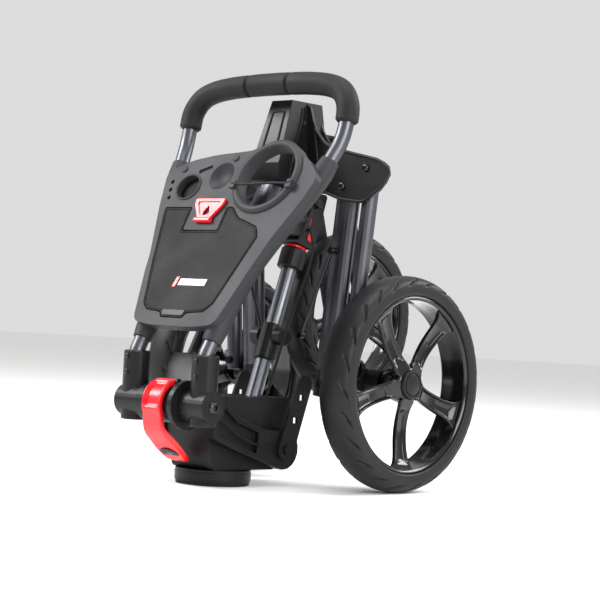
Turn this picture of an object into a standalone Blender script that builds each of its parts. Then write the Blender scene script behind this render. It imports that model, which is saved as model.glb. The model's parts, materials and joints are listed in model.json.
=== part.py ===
"""Three-wheel golf push trolley, folded and standing on its foot and its two rear wheels.

Axes: X runs along the rear axle, -Y is the side with the console and the red hinge lever, +Z is up.
All sizes are in metres. Every sub-part is one closed object; moving groups hang from empties on
their joint axes. Objects drawn as wires are the tools of Boolean modifiers.
"""
import math

import bmesh
import bpy
from mathutils import Matrix, Vector

# ---------------------------------------------------------------- driving dimensions
GAP = 0.0003                 # clearance between touching pieces
BORE_GAP = 0.0006            # clearance round the bent tube
RUN = 0.0003                 # clearance round a turning shaft
SEGMENTS = 30                # sides of a large round piece
SMALL_SEGMENTS = 14          # sides of a small round piece

# rear wheels
REAR_R = 0.1154
REAR_WIDTH = 0.040
TRACK_OUTER = 0.302          # over both rear tyres
REAR_AXLE_Y = 0.046
REAR_AXLE_R = 0.006
# front wheel
FRONT_R = 0.0965
FRONT_WIDTH = 0.032
FRONT_AXLE_Y = 0.1035
FRONT_AXLE_Z = 0.184
FRONT_AXLE_R = 0.005
TYRE_DEPTH = 0.0215          # crown to seat
RIM_WALL = 0.0035
HUB_R = 0.019
WEB = 0.006
WEB_OFFSET = 0.003           # web's inner face from the wheel's middle plane
SPOKES = 5
SPOKE_PHASE = 51.0           # degrees from +Y to the first spoke
SPOKE_HALF_HUB = 0.0085
SPOKE_HALF_RIM = 0.0125
# foot and base
FOOT_R = 0.040
FOOT_Y = -0.098
PAD_H = 0.003
FOOT_TOP = 0.016
BLOCK_HALF = 0.031
BLOCK_TOP = 0.093
CHEEK = 0.012
LUG_Y = -0.036
LUG_Z = 0.0385
LUG_R = 0.0215
STRAP = 0.003
STRAP_TOP_Y = -0.0125
STRAP_TOP_Z = 0.108
# handle hinge
HINGE_Y = -0.168
HINGE_Z = 0.0835
DRUM_R = 0.019
RATCHET_R = 0.0255
RATCHET = 0.006
DRUM_HALF = 0.0305
HINGE_BOLT_R = 0.005
SOCKET_X = 0.0515
SOCKET_R = 0.0140
SOCKET_LOW = 0.020
EYE_R = 0.0165
EYE_OUTER = 0.0658
SOCKET_H = 0.0525
LEVER = 0.0055
LEVER_CLEAR = 0.0015
LEVER_HALF = 0.013
PADDLE_HALF = 0.017
LEVER_PIN_R = 0.0013
# handle
HANDLE_LEAN = math.radians(26.7)
TUBE_R = 0.0082
GRIP_R = 0.0122
GRIP_SEAM = 0.030
CONSOLE_FACE = 0.015
CONSOLE_PLATE = 0.009
TRAY_BACK = 0.008
RIB_R = 0.0115
CUP_X = 0.048
CUP_U = 0.2045
CUP_R = 0.036
CUP_RING = 0.009
LID = 0.003
LID_HINGE_U = 0.165
LID_CLEAR = 0.0012           # round and under the lid, so that its hinge edge can turn
CLIP = 0.003
CLIP_HINGE_U = 0.1745
CLIP_CLEAR = 0.0008
# spine and mast
SPINE_LEAN = math.radians(26.65)
SPINE_FOOT = (-0.150, 0.090)
SPINE_START = 0.025
SPINE_END = 0.300
SPINE_HALF_X = 0.017
SPINE_HALF = 0.009
NECK_HALF = 0.014
MAST_LEAN = math.radians(17.8)
MAST_FOOT = (-0.0617, 0.035)
MAST_R = 0.0088
COLLAR_LOW = 0.2075
COLLAR_TOP = 0.2300
COLLAR_R = 0.0145
RING_TOP = 0.2340
RING_R = 0.0125
HEAD_TOP = 0.2926
HEAD_HALF = 0.014
MAST_TOP = 0.262
SLEEVE_LOW = 0.102
SLEEVE_TOP = 0.142
SLEEVE_R = 0.0125
BOSS_T = 0.129
BOSS_R = 0.010
BOSS_X = 0.0235
# top housing
PLATE = 0.003
PLATE_Y = -0.0015
LEG_Y = 0.012
TUBE_GAP = 0.0015            # from the tubes to the housing's plates
HOUSING_TOP = 0.415
HOUSING_LOW = 0.318
HOUSING_HALF = 0.022
HOUSING_TOP_HALF = 0.015
# legs: leg pivot, link pivot and the vector to their lower ends (X, Z)
LEG_PIVOT = (0.073, 0.323)
LINK_PIVOT = (0.105, 0.342)
LEG_VECTOR = (-0.019, -0.214)
LEG_HALF_X = 0.015
LEG_HALF_Y = 0.009
LINK_R = 0.0085
PIVOT_BOLT_R = 0.004
ROD_R = 0.0017
ROD_EYE_R = 0.0036
ROD_Y = -0.0050
ROD_ON_LEG = 0.070
ROD_END = (0.0290, 0.161)
# front fork
FORK_PIVOT = (0.042, 0.372)
FORK_HALF = 0.010
FORK_INNER = 0.0215
FORK_BLADE = 0.005
FORK_LUG_R = 0.011
FORK_BOLT_R = 0.004
CROWN = (0.024, 0.038)

SIDES = (("right", 1), ("left", -1))

# ---------------------------------------------------------------- derived places
BACK_PLATE_Y = LEG_Y + LEG_HALF_Y + TUBE_GAP
REAR_X = TRACK_OUTER / 2 - REAR_WIDTH / 2
LEVER_OUTER = DRUM_R + LEVER_CLEAR + LEVER
DEPTH_MIDDLE = ((HINGE_Y - LEVER_OUTER) + (FRONT_AXLE_Y + FRONT_R)) / 2
LEG_LENGTH = math.hypot(*LEG_VECTOR)
LEG_LOWER = (LEG_PIVOT[0] + LEG_VECTOR[0], LEG_PIVOT[1] + LEG_VECTOR[1])
LINK_LOWER = (LINK_PIVOT[0] + LEG_VECTOR[0], LINK_PIVOT[1] + LEG_VECTOR[1])
HANDLE_ROOT = (HINGE_Y - 0.001, HINGE_Z + 0.0515)


# ---------------------------------------------------------------- modelling helpers
def material(name, colour, roughness, metallic=0.0):
    """Principled material with one colour, roughness and metallic value."""
    made = bpy.data.materials.new(name)
    made.use_nodes = True
    shader = made.node_tree.nodes["Principled BSDF"]
    shader.inputs["Base Color"].default_value = (*colour, 1.0)
    shader.inputs["Roughness"].default_value = roughness
    shader.inputs["Metallic"].default_value = metallic
    return made


def empty(name, place, parent=None, lean=0.0):
    """Empty at a place given in its parent's axes, tipped about X by lean towards +Y."""
    made = bpy.data.objects.new(name, None)
    made.parent = parent
    made.location = place
    made.rotation_euler = (-lean, 0.0, 0.0)
    bpy.context.scene.collection.objects.link(made)
    return made


def add(name, bm, finish, parent):
    """Object from a bmesh, with its faces out and its round faces smooth."""
    bmesh.ops.recalc_face_normals(bm, faces=bm.faces)
    mesh = bpy.data.meshes.new(name)
    bm.to_mesh(mesh)
    bm.free()
    mesh.shade_smooth()
    mesh.set_sharp_from_angle(angle=math.radians(35))
    mesh.materials.append(finish)
    made = bpy.data.objects.new(name, mesh)
    made.parent = parent
    bpy.context.scene.collection.objects.link(made)
    return made


def combine(target, operation, bm, place=(0, 0, 0), turn=(0, 0, 0)):
    """Join or cut the target with a wire tool that sits in the target's own axes."""
    tool = add(target.name + "_tool", bm, target.data.materials[0], target)
    tool.location = place
    tool.rotation_euler = turn
    tool.hide_render = True
    tool.display_type = "WIRE"
    step = target.modifiers.new(operation.title(), "BOOLEAN")
    step.operation = operation
    step.solver = "EXACT"
    step.object = tool
    return tool


def join(target, bm, **where):
    return combine(target, "UNION", bm, **where)


def cut(target, bm, **where):
    return combine(target, "DIFFERENCE", bm, **where)


def tidy(target):
    """Merge the doubled points that a long chain of Booleans can leave."""
    weld = target.modifiers.new("Weld", "WELD")
    weld.merge_threshold = 0.00002


def turned(profile, segments=SMALL_SEGMENTS, ring=False):
    """Solid of revolution about X from (x, radius) points, pole to pole or a closed ring."""
    bm = bmesh.new()
    angles = [2 * math.pi * step / segments for step in range(segments)]
    rows = []
    for x, radius in profile:
        if radius < 1e-7:
            rows.append([bm.verts.new((x, 0, 0))])
        else:
            rows.append([bm.verts.new((x, radius * math.cos(a), radius * math.sin(a))) for a in angles])
    following = rows[1:] + rows[:1] if ring else rows[1:]
    for first, second in zip(rows, following):
        for i in range(segments):
            j = (i + 1) % segments
            corners = [first[i % len(first)], first[j % len(first)]]
            corners += [second[j % len(second)], second[i % len(second)]]
            corners = list(dict.fromkeys(corners))
            if len(corners) > 2:
                bm.faces.new(corners)
    return bm


def rod(low, high, radius, segments=SMALL_SEGMENTS):
    """Plain cylinder along X."""
    return turned([(low, 0), (low, radius), (high, radius), (high, 0)], segments)


def bolt(low, high, radius, head_r, head, segments=12):
    """Bolt along X with a domed head beyond each end of its grip."""
    dome = [(low - head, 0), (low - head, head_r * 0.6), (low - head * 0.55, head_r * 0.92)]
    profile = dome + [(low, head_r), (low, radius)]
    far = [(high + low - x, r) for x, r in reversed(profile)]
    return turned(profile + far, segments)


def prism(outline, low, high, along):
    """Solid of an outline: (Y, Z) points along X, (X, Z) along Y or (X, Y) along Z."""
    spots = {"X": lambda a, b, d: (d, a, b), "Y": lambda a, b, d: (a, d, b), "Z": lambda a, b, d: (a, b, d)}
    spot = spots[along]
    bm = bmesh.new()
    face = bm.faces.new([bm.verts.new(spot(a, b, low)) for a, b in outline])
    grown = bmesh.ops.extrude_face_region(bm, geom=[face])["geom"]
    step = Vector(spot(0, 0, high - low))
    bmesh.ops.translate(bm, verts=[v for v in grown if isinstance(v, bmesh.types.BMVert)], vec=step)
    return bm


def box(x, y, z):
    """Box from (low, high) pairs."""
    return prism([(x[0], y[0]), (x[1], y[0]), (x[1], y[1]), (x[0], y[1])], z[0], z[1], "Z")


def arc(centre, radius, start, end, steps):
    """Points on an arc between two angles in degrees, both ends included."""
    turns = [math.radians(start + (end - start) * i / steps) for i in range(steps + 1)]
    return [(centre[0] + radius * math.cos(a), centre[1] + radius * math.sin(a)) for a in turns]


def rounded(corners, radius, steps=3):
    """Outline with each corner turned into a short curve of about the given radius."""
    points = []
    count = len(corners)
    for i, corner in enumerate(corners):
        here = Vector(corner)
        before = Vector(corners[i - 1]) - here
        after = Vector(corners[(i + 1) % count]) - here
        reach = min(radius, 0.45 * before.length, 0.45 * after.length)
        start = here + before.normalized() * reach
        end = here + after.normalized() * reach
        for k in range(steps + 1):
            t = k / steps
            points.append(tuple(start * (1 - t) ** 2 + here * 2 * t * (1 - t) + end * t ** 2))
    return points


def capsule(first, second, first_r, second_r, steps=6):
    """Outline round two circles."""
    run = Vector(second) - Vector(first)
    heading = math.degrees(math.atan2(run.y, run.x))
    return (arc(second, second_r, heading - 90, heading + 90, steps)
            + arc(first, first_r, heading + 90, heading + 270, steps))


def ellipse(half_a, half_b, segments=20):
    return [(half_a * math.cos(2 * math.pi * i / segments), half_b * math.sin(2 * math.pi * i / segments))
            for i in range(segments)]


def smooth_path(points, steps=4):
    """Catmull-Rom curve through the points."""
    places = [Vector(p) for p in points]
    padded = [places[0] * 2 - places[1]] + places + [places[-1] * 2 - places[-2]]
    curve = []
    for p0, p1, p2, p3 in zip(padded, padded[1:], padded[2:], padded[3:]):
        for k in range(steps):
            t = k / steps
            curve.append(0.5 * ((2 * p1) + (p2 - p0) * t + (2 * p0 - 5 * p1 + 4 * p2 - p3) * t ** 2
                                + (3 * p1 - p0 - 3 * p2 + p3) * t ** 3))
    return curve + [places[-1]]


def along(path, radius, inner=0.0, sides=12):
    """Round bar along a path, or a sleeve when it has an inner radius."""
    bm = bmesh.new()
    steps = [(b - a).normalized() for a, b in zip(path, path[1:])]
    headings = [steps[0]] + [(a + b).normalized() for a, b in zip(steps, steps[1:])] + [steps[-1]]
    across = headings[0].orthogonal().normalized()
    outside, inside = [], []
    for place, heading in zip(path, headings):
        across = (across - heading * across.dot(heading)).normalized()
        other = heading.cross(across)
        spokes = [across * math.cos(a) + other * math.sin(a)
                  for a in (2 * math.pi * i / sides for i in range(sides))]
        outside.append([bm.verts.new(place + s * radius) for s in spokes])
        if inner:
            inside.append([bm.verts.new(place + s * inner) for s in spokes])
    rows = outside + inside[::-1]
    pairs = list(zip(rows, rows[1:]))
    if inner:
        pairs.append((rows[-1], rows[0]))
    else:
        bm.faces.new(rows[0])
        bm.faces.new(rows[-1][::-1])
    for first, second in pairs:
        for i in range(sides):
            j = (i + 1) % sides
            bm.faces.new([first[i], first[j], second[j], second[i]])
    return bm


def across_y(x, z):
    """Place and turn of a piece made along X that must lie along Y at (X, Z)."""
    return {"place": (x, 0, z), "turn": (0, 0, math.radians(90))}


def across_x(y, z):
    """Place of a piece made along X at (Y, Z)."""
    return {"place": (0, y, z)}


# ---------------------------------------------------------------- finishes
def make_finishes():
    return {
        "tube": material("anodised_aluminium", (0.10, 0.10, 0.11), 0.35, 1.0),
        "bright": material("bright_aluminium", (0.42, 0.42, 0.44), 0.25, 1.0),
        "plastic": material("black_moulded_nylon", (0.012, 0.012, 0.013), 0.5),
        "console": material("grey_moulded_abs", (0.035, 0.035, 0.04), 0.55),
        "panel": material("black_panel", (0.006, 0.006, 0.007), 0.4),
        "red": material("red_moulded_nylon", (0.62, 0.012, 0.016), 0.35),
        "foam": material("eva_foam", (0.015, 0.015, 0.016), 0.8),
        "tyre": material("tyre_rubber", (0.022, 0.022, 0.024), 0.7),
        "rim": material("gloss_nylon", (0.008, 0.008, 0.009), 0.15),
        "rubber": material("rubber", (0.02, 0.02, 0.02), 0.75),
        "steel": material("zinc_steel", (0.45, 0.45, 0.46), 0.3, 1.0),
    }


# ---------------------------------------------------------------- base
def neck_back(distance):
    """(Y, Z) on the back face of the hinge neck, at a distance along the spine."""
    y = SPINE_FOOT[0] + distance * math.sin(SPINE_LEAN) + NECK_HALF * math.cos(SPINE_LEAN)
    z = SPINE_FOOT[1] + distance * math.cos(SPINE_LEAN) - NECK_HALF * math.sin(SPINE_LEAN)
    return y, z


def make_base(finish, frame):
    """Foot, its pad, the block above it, the two channel cheeks and their straps."""
    foot = [(x, FOOT_Y + y) for x, y in ellipse(FOOT_R, FOOT_R, SEGMENTS)]
    pad = [(x, FOOT_Y + y) for x, y in ellipse(FOOT_R - 0.001, FOOT_R - 0.001, SEGMENTS)]
    add("foot_pad", prism(pad, 0.0, PAD_H - GAP, "Z"), finish["rubber"], frame)
    add("base_foot", prism(foot, PAD_H, FOOT_TOP, "Z"), finish["plastic"], frame)

    rise = (BLOCK_TOP - neck_back(0)[1]) / math.cos(SPINE_LEAN)
    front_low = neck_back(-0.010)
    front_top = neck_back(rise)
    outline = [(FOOT_Y - 0.030, FOOT_TOP + GAP), (FOOT_Y + 0.060, FOOT_TOP + GAP),
               (FOOT_Y + 0.082, 0.060), (FOOT_Y + 0.080, BLOCK_TOP),
               (front_top[0] + 2 * GAP, BLOCK_TOP), (front_low[0] + 2 * GAP, front_low[1]),
               (front_low[0] + 0.004, 0.045)]
    block = add("base_block", prism(rounded(outline, 0.004), -BLOCK_HALF, BLOCK_HALF, "X"),
                finish["plastic"], frame)
    bore = rod(0.0, 0.120, MAST_R + GAP, SMALL_SEGMENTS)
    cut(block, bore, place=(0, *MAST_FOOT), turn=mast_turn())

    inner = BLOCK_HALF + GAP
    outer = inner + CHEEK
    front = HINGE_Y + math.hypot(SOCKET_LOW, SOCKET_R) + 0.0016
    upper = [(LUG_Y - 0.012, LUG_Z + 0.0195), (-0.072, 0.061), (-0.106, 0.0722), (-0.131, 0.0906),
             (front, 0.104)]
    lower = [(front, 0.0515), (-0.133, 0.0465), (-0.079, 0.029)]
    lug = arc((LUG_Y, LUG_Z), LUG_R, -115, 95, 10)
    pocket = [(-0.076, 0.0565), (-0.108, 0.067), (-0.129, 0.0825), (front + 0.004, 0.094),
              (front + 0.004, 0.0560), (-0.130, 0.0510), (-0.078, 0.0345)]
    for side, sign in SIDES:
        low, high = sorted((sign * inner, sign * outer))
        cheek = add("side_cheek_" + side, prism(lug + upper + lower, low, high, "X"),
                    finish["plastic"], frame)
        deep, open_end = sorted((sign * (outer - 0.006), sign * (outer + 0.002)))
        cut(cheek, prism(pocket, deep, open_end, "X"))
        button = rod(sign * (outer - 0.002), sign * (outer + STRAP + 0.003), 0.005)
        join(cheek, button, **across_x(LUG_Y, LUG_Z))
        strap_low, strap_high = sorted((sign * (outer + 2 * GAP), sign * (outer + 2 * GAP + STRAP)))
        pivot = empty("strap_axis_" + side, (0, LUG_Y, LUG_Z), frame)
        reach = (STRAP_TOP_Y - LUG_Y, STRAP_TOP_Z - LUG_Z)
        strap = add("retaining_strap_" + side,
                    prism(capsule((0, 0), reach, 0.012, 0.0105), strap_low, strap_high, "X"),
                    finish["rubber"], pivot)
        cut(strap, rod(sign * 0.03, sign * 0.06, 0.005 + RUN))
        for share in (0.45, 0.80):
            hole = [(reach[0] * share + a, reach[1] * share + b)
                    for a, b in ((-0.003, -0.003), (0.003, -0.003), (0.003, 0.003), (-0.003, 0.003))]
            cut(strap, prism(hole, sign * 0.03, sign * 0.06, "X"))


def mast_turn():
    """Turn that lays a piece made along X on the mast's leaning axis."""
    upright = Matrix.Rotation(math.radians(-90), 4, "Y")
    return (Matrix.Rotation(-MAST_LEAN, 4, "X") @ upright).to_euler()


# ---------------------------------------------------------------- handle hinge
def make_hinge(finish, frame):
    """Drum with its neck and lever ears, the through bolt and the red cam lever."""
    axis = empty("handle_hinge_axis", (0, HINGE_Y, HINGE_Z), frame)
    drum = add("hinge_drum", rod(-DRUM_HALF, DRUM_HALF, DRUM_R, SEGMENTS), finish["plastic"], axis)
    start = (0, SPINE_FOOT[0] - HINGE_Y, SPINE_FOOT[1] - HINGE_Z)
    turn = (-SPINE_LEAN, 0, 0)
    neck_high = SPINE_START + 0.020
    join(drum, box((-0.024, 0.024), (-NECK_HALF, NECK_HALF), (-0.010, neck_high)), place=start, turn=turn)
    join(drum, rod(DRUM_HALF - RATCHET, DRUM_HALF, RATCHET_R, SEGMENTS))
    bore = prism(ellipse(SPINE_HALF_X + GAP, SPINE_HALF + GAP), SPINE_START - GAP, neck_high + 0.01, "Z")
    cut(drum, bore, place=start, turn=turn)
    pin = (-0.0015, DRUM_R + LEVER_CLEAR + LEVER / 2)
    for sign in (1, -1):
        ear = capsule((-0.001, DRUM_R - 0.004), pin, 0.004, 0.0032, 4)
        low, high = sorted((sign * (LEVER_HALF + GAP), sign * (LEVER_HALF + GAP + 0.003)))
        join(drum, prism(ear, low, high, "X"))
    cut(drum, rod(-0.03, 0.03, LEVER_PIN_R + RUN, 10), **across_x(*pin))
    cut(drum, rod(-0.05, 0.05, HINGE_BOLT_R + RUN))
    add("hinge_bolt", bolt(-EYE_OUTER - GAP, EYE_OUTER + GAP, HINGE_BOLT_R, 0.0085, 0.0035),
        finish["steel"], axis)

    lever_axis = empty("cam_lever_axis", (0, HINGE_Y + pin[0], HINGE_Z + pin[1]), frame)
    add("lever_pin", rod(-LEVER_HALF - 0.0033, LEVER_HALF + 0.0033, LEVER_PIN_R, 10),
        finish["steel"], lever_axis)
    lever = add("cam_lever", lever_mesh(pin), finish["red"], lever_axis)
    cut(lever, rod(-0.03, 0.03, LEVER_PIN_R + RUN, 10))
    return axis


def lever_mesh(pin):
    """Strip that wraps the drum's front from its pin, then sweeps under it as a wide paddle."""
    middle = DRUM_R + LEVER_CLEAR + LEVER / 2
    wrap = [(-middle * math.sin(math.radians(a)), middle * math.cos(math.radians(a)))
            for a in (-3, 12, 27, 42, 57, 72, 87, 102, 117)]
    sweep = [(-0.0195, -0.0215), (-0.0150, -0.0292), (-0.0055, -0.0372), (0.0055, -0.0468),
             (0.0175, -0.0555), (0.0290, -0.0580)]
    centre = [Vector(p) - Vector(pin) for p in wrap + sweep]
    widths = [LEVER_HALF] * len(wrap) + [LEVER_HALF + 0.001, LEVER_HALF + 0.002, LEVER_HALF + 0.003,
                                         PADDLE_HALF, PADDLE_HALF, PADDLE_HALF * 0.6]
    bm = bmesh.new()
    rings = []
    for i, place in enumerate(centre):
        heading = (centre[min(i + 1, len(centre) - 1)] - centre[max(i - 1, 0)]).normalized()
        normal = Vector((-heading.y, heading.x)) * LEVER / 2
        half = widths[i]
        soft = 0.0015
        ring = [(half, 0.4), (half - soft, 1.0), (-half + soft, 1.0), (-half, 0.4),
                (-half, -0.4), (-half + soft, -1.0), (half - soft, -1.0), (half, -0.4)]
        rings.append([bm.verts.new((x, *(place + normal * n))) for x, n in ring])
    bm.faces.new(rings[0])
    bm.faces.new(rings[-1][::-1])
    for first, second in zip(rings, rings[1:]):
        for i in range(8):
            j = (i + 1) % 8
            bm.faces.new([first[i], first[j], second[j], second[i]])
    return bm


# ---------------------------------------------------------------- handle
def handle_point(x, u, ahead=0.0):
    """Point at x and u in the leaning handle plane or ahead of it, relative to the hinge axis."""
    return Vector((x, HANDLE_ROOT[0] - HINGE_Y + u * math.sin(HANDLE_LEAN) - ahead * math.cos(HANDLE_LEAN),
                   HANDLE_ROOT[1] - HINGE_Z + u * math.cos(HANDLE_LEAN) + ahead * math.sin(HANDLE_LEAN)))


# half of the handle tube: (x, u, distance ahead of the handle plane), from its foot to the arch's middle
TUBE_HALF = [(0.0518, 0.015, 0.0), (0.0530, 0.045, 0.0), (0.0615, 0.100, 0.0), (0.0830, 0.155, 0.0),
             (0.1035, 0.203, 0.0), (0.1112, 0.232, 0.0), (0.1155, 0.2545, 0.0005), (0.1169, 0.2755, 0.0048),
             (0.1150, 0.2940, 0.0110), (0.1040, 0.3085, 0.0155), (0.0850, 0.3155, 0.0180),
             (0.0580, 0.3185, 0.0195), (0.0300, 0.3195, 0.0200), (0.0, 0.3200, 0.0200)]
GRIP_START = 9               # path point where the foam begins
CONSOLE_TUBE = (2, 7)        # path points between which the console wraps the tube


def handle_path():
    """Whole tube from the right socket over the arch to the left socket."""
    half = [Vector((SOCKET_X, -0.0030, 0.0225)), Vector((SOCKET_X, -0.0025, 0.046))]
    half += [handle_point(*spot) for spot in TUBE_HALF]
    mirrored = [Vector((-p.x, p.y, p.z)) for p in reversed(half[:-1])]
    return half + mirrored


def make_handle(finish, axis):
    """Bent tube, three foam grips and the two hinge sockets."""
    path = handle_path()
    add("handle_tube", along(path, TUBE_R, sides=12), finish["tube"], axis)
    last = len(path) - 1
    start = GRIP_START
    seam = min(range(len(path)), key=lambda i: (path[i].z < 0.2, abs(path[i].x - GRIP_SEAM)))
    pieces = (("grip_right", path[start:seam + 1]), ("grip_centre", path[seam:last - seam + 1]),
              ("grip_left", path[last - seam:last - start + 1]))
    for name, stretch in pieces:
        trimmed = [stretch[0].lerp(stretch[1], 0.04)] + stretch[1:-1] + [stretch[-1].lerp(stretch[-2], 0.04)]
        add(name, along(trimmed, GRIP_R, TUBE_R + BORE_GAP, 14), finish["foam"], axis)

    soft = 0.0015
    for side, sign in SIDES:
        low, high = sorted((sign * (DRUM_HALF + GAP), sign * EYE_OUTER))
        barrel = turned([(-SOCKET_LOW, 0), (-SOCKET_LOW, SOCKET_R - soft), (soft - SOCKET_LOW, SOCKET_R),
                         (SOCKET_H - soft, SOCKET_R), (SOCKET_H, SOCKET_R - soft), (SOCKET_H, 0)], 20)
        socket = add("hinge_socket_" + side, barrel, finish["plastic"], axis)
        socket.location = (sign * SOCKET_X, 0, 0)
        socket.rotation_euler = (0, math.radians(-90), 0)
        upright = {"turn": (0, math.radians(90), 0)}
        join(socket, rod(low - sign * SOCKET_X, high - sign * SOCKET_X, EYE_R, 28), **upright)
        cut(socket, rod(-0.08, 0.08, HINGE_BOLT_R + RUN), **upright)
        bore = along([p - socket.location for p in tube_stretch(path, sign)], TUBE_R + BORE_GAP, sides=12)
        cut(socket, bore, **upright)


def tube_stretch(path, sign):
    """Lower run of the tube on one side, lengthened a little below its end."""
    run = path[:3] if sign > 0 else path[::-1][:3]
    below = Vector((run[0].x, run[0].y, run[0].z - 0.0015))
    return [below] + run


# ---------------------------------------------------------------- console
CONSOLE_OUTLINE = [(-0.109, 0.214), (-0.099, 0.172), (-0.079, 0.108), (-0.076, 0.090), (-0.060, 0.028),
                   (-0.030, 0.024), (0.030, 0.024), (0.060, 0.028), (0.078, 0.092), (0.090, 0.130),
                   (0.112, 0.178), (0.119, 0.205), (0.096, 0.226), (0.074, 0.236), (0.048, 0.241),
                   (0.022, 0.240), (0.000, 0.237), (-0.040, 0.234), (-0.074, 0.228)]
LID_OUTLINE = [(-0.086, LID_HINGE_U + LID / 2), (-0.046, LID_HINGE_U + LID / 2), (-0.046, 0.138),
               (0.008, 0.138), (0.008, LID_HINGE_U + LID / 2), (0.016, LID_HINGE_U + LID / 2),
               (0.030, 0.154), (0.062, 0.143), (0.069, 0.131), (0.047, 0.052), (0.038, 0.043),
               (0.014, 0.041), (0.011, 0.035), (-0.021, 0.035), (-0.024, 0.041), (-0.046, 0.043),
               (-0.055, 0.050), (-0.070, 0.102)]
CLIP_OUTLINE = [(-0.0400, CLIP_HINGE_U + CLIP / 2), (0.0040, CLIP_HINGE_U + CLIP / 2), (0.0025, 0.168),
                (-0.0080, 0.1525), (-0.0060, 0.1525), (-0.0060, 0.1475), (-0.0300, 0.1475),
                (-0.0300, 0.1525), (-0.0270, 0.1525), (-0.0385, 0.168)]


def grown(outline, margin):
    """Outline moved outwards by a margin, for a simple counter-clockwise or clockwise ring."""
    area = sum(a[0] * b[1] - b[0] * a[1] for a, b in zip(outline, outline[1:] + outline[:1]))
    sense = 1 if area > 0 else -1
    moved = []
    for i, point in enumerate(outline):
        before = (Vector(point) - Vector(outline[i - 1])).normalized()
        after = (Vector(outline[(i + 1) % len(outline)]) - Vector(point)).normalized()
        normals = [Vector((d.y, -d.x)) * sense for d in (before, after)]
        bisector = normals[0] + normals[1]
        bisector /= max(bisector.length_squared / 2, 0.35)
        moved.append(tuple(Vector(point) + bisector * margin))
    return moved


def make_console(finish, axis):
    """Moulded tray on the tube with a cup ring, holders, a lid and a clip."""
    root = empty("console_frame", handle_point(0, 0), axis, HANDLE_LEAN)
    face = -CONSOLE_FACE
    back = face + CONSOLE_PLATE
    console = add("console_tray", prism(rounded(CONSOLE_OUTLINE, 0.006, 1), face, back, "Y"),
                  finish["console"], root)
    tray = rounded([(-0.072, 0.128), (-0.052, 0.052), (0.044, 0.052), (0.064, 0.128)], 0.006, 2)
    join(console, prism(tray, face + 0.004, TRAY_BACK, "Y"))
    middle = CUP_R + CUP_RING / 2
    cut(console, rod(face - 0.002, back + 0.002, middle, 28), **across_y(CUP_X, CUP_U))
    outer = CUP_R + CUP_RING
    ring = [(face - 0.002, CUP_R), (face - 0.004, CUP_R + 0.002), (face - 0.004, outer - 0.002),
            (face - 0.002, outer), (back + 0.002, outer), (back + 0.002, CUP_R)]
    join(console, turned(ring, 28, ring=True), **across_y(CUP_X, CUP_U))
    path = [axis_to_console(p) for p in handle_path()]
    first, last = CONSOLE_TUBE
    for run in (path[first:last], path[::-1][first:last]):
        join(console, along(run, RIB_R, sides=12))
    for run in (path[first - 1:last + 2], path[::-1][first - 1:last + 2]):
        cut(console, along(run, TUBE_R + BORE_GAP, sides=12))
    recess = rounded(grown(LID_OUTLINE, LID_CLEAR), 0.002, 1)
    cut(console, prism(recess, face - 0.002, face + LID + LID_CLEAR, "Y"))
    well = rounded([(-0.064, 0.122), (-0.047, 0.058), (0.039, 0.058), (0.056, 0.122)], 0.004, 2)
    cut(console, prism(well, face - 0.002, TRAY_BACK - 0.003, "Y"))
    cut(console, prism([(x - 0.021, z + 0.2065) for x, z in ellipse(0.0165, 0.0165)], face - 0.002,
                       face + 0.005, "Y"))
    cut(console, prism([(x - 0.065, z + 0.193) for x, z in ellipse(0.016, 0.0145)], face - 0.002,
                       face + 0.006, "Y"))
    for x, z in ((-0.094, 0.200), (-0.092, 0.190), (-0.089, 0.180)):
        cut(console, rod(face - 0.002, back + 0.002, 0.0025, 8), **across_y(x, z))

    cord = along([Vector((CUP_X + x, face - 0.0062 + 0.0004 * abs(x) / 0.04, CUP_U - 0.012))
                  for x in (-0.043, -0.02, 0.0, 0.02, 0.043)], 0.0014, sides=8)
    add("cup_cord", cord, finish["rubber"], root)

    lid_axis = empty("lid_axis", (0, face + LID / 2, LID_HINGE_U), root)
    lid = add("scorecard_lid", prism([(x, u - LID_HINGE_U) for x, u in rounded(LID_OUTLINE, 0.002, 1)],
                                     -LID / 2, LID / 2, "Y"), finish["panel"], lid_axis)
    soften = lid.modifiers.new("Edges", "BEVEL")
    soften.width = LID * 0.3
    soften.segments = 1
    soften.limit_method = "ANGLE"
    soften.angle_limit = math.radians(60)

    clip_axis = empty("clip_axis", (0, face - CLIP_CLEAR - CLIP / 2, CLIP_HINGE_U), root)
    clip = add("scorecard_clip", prism([(x, u - CLIP_HINGE_U) for x, u in rounded(CLIP_OUTLINE, 0.0015, 1)],
                                       -CLIP / 2, CLIP / 2, "Y"), finish["red"], clip_axis)
    window = [(-0.0255, 0.1655), (-0.0105, 0.1655), (-0.0180, 0.1555)]
    cut(clip, prism([(x, u - CLIP_HINGE_U) for x, u in window], -CLIP, CLIP, "Y"))


def axis_to_console(place):
    """Point from the hinge axis's frame in the console's leaning frame."""
    return Matrix.Rotation(HANDLE_LEAN, 3, "X") @ (place - handle_point(0, 0))


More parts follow.
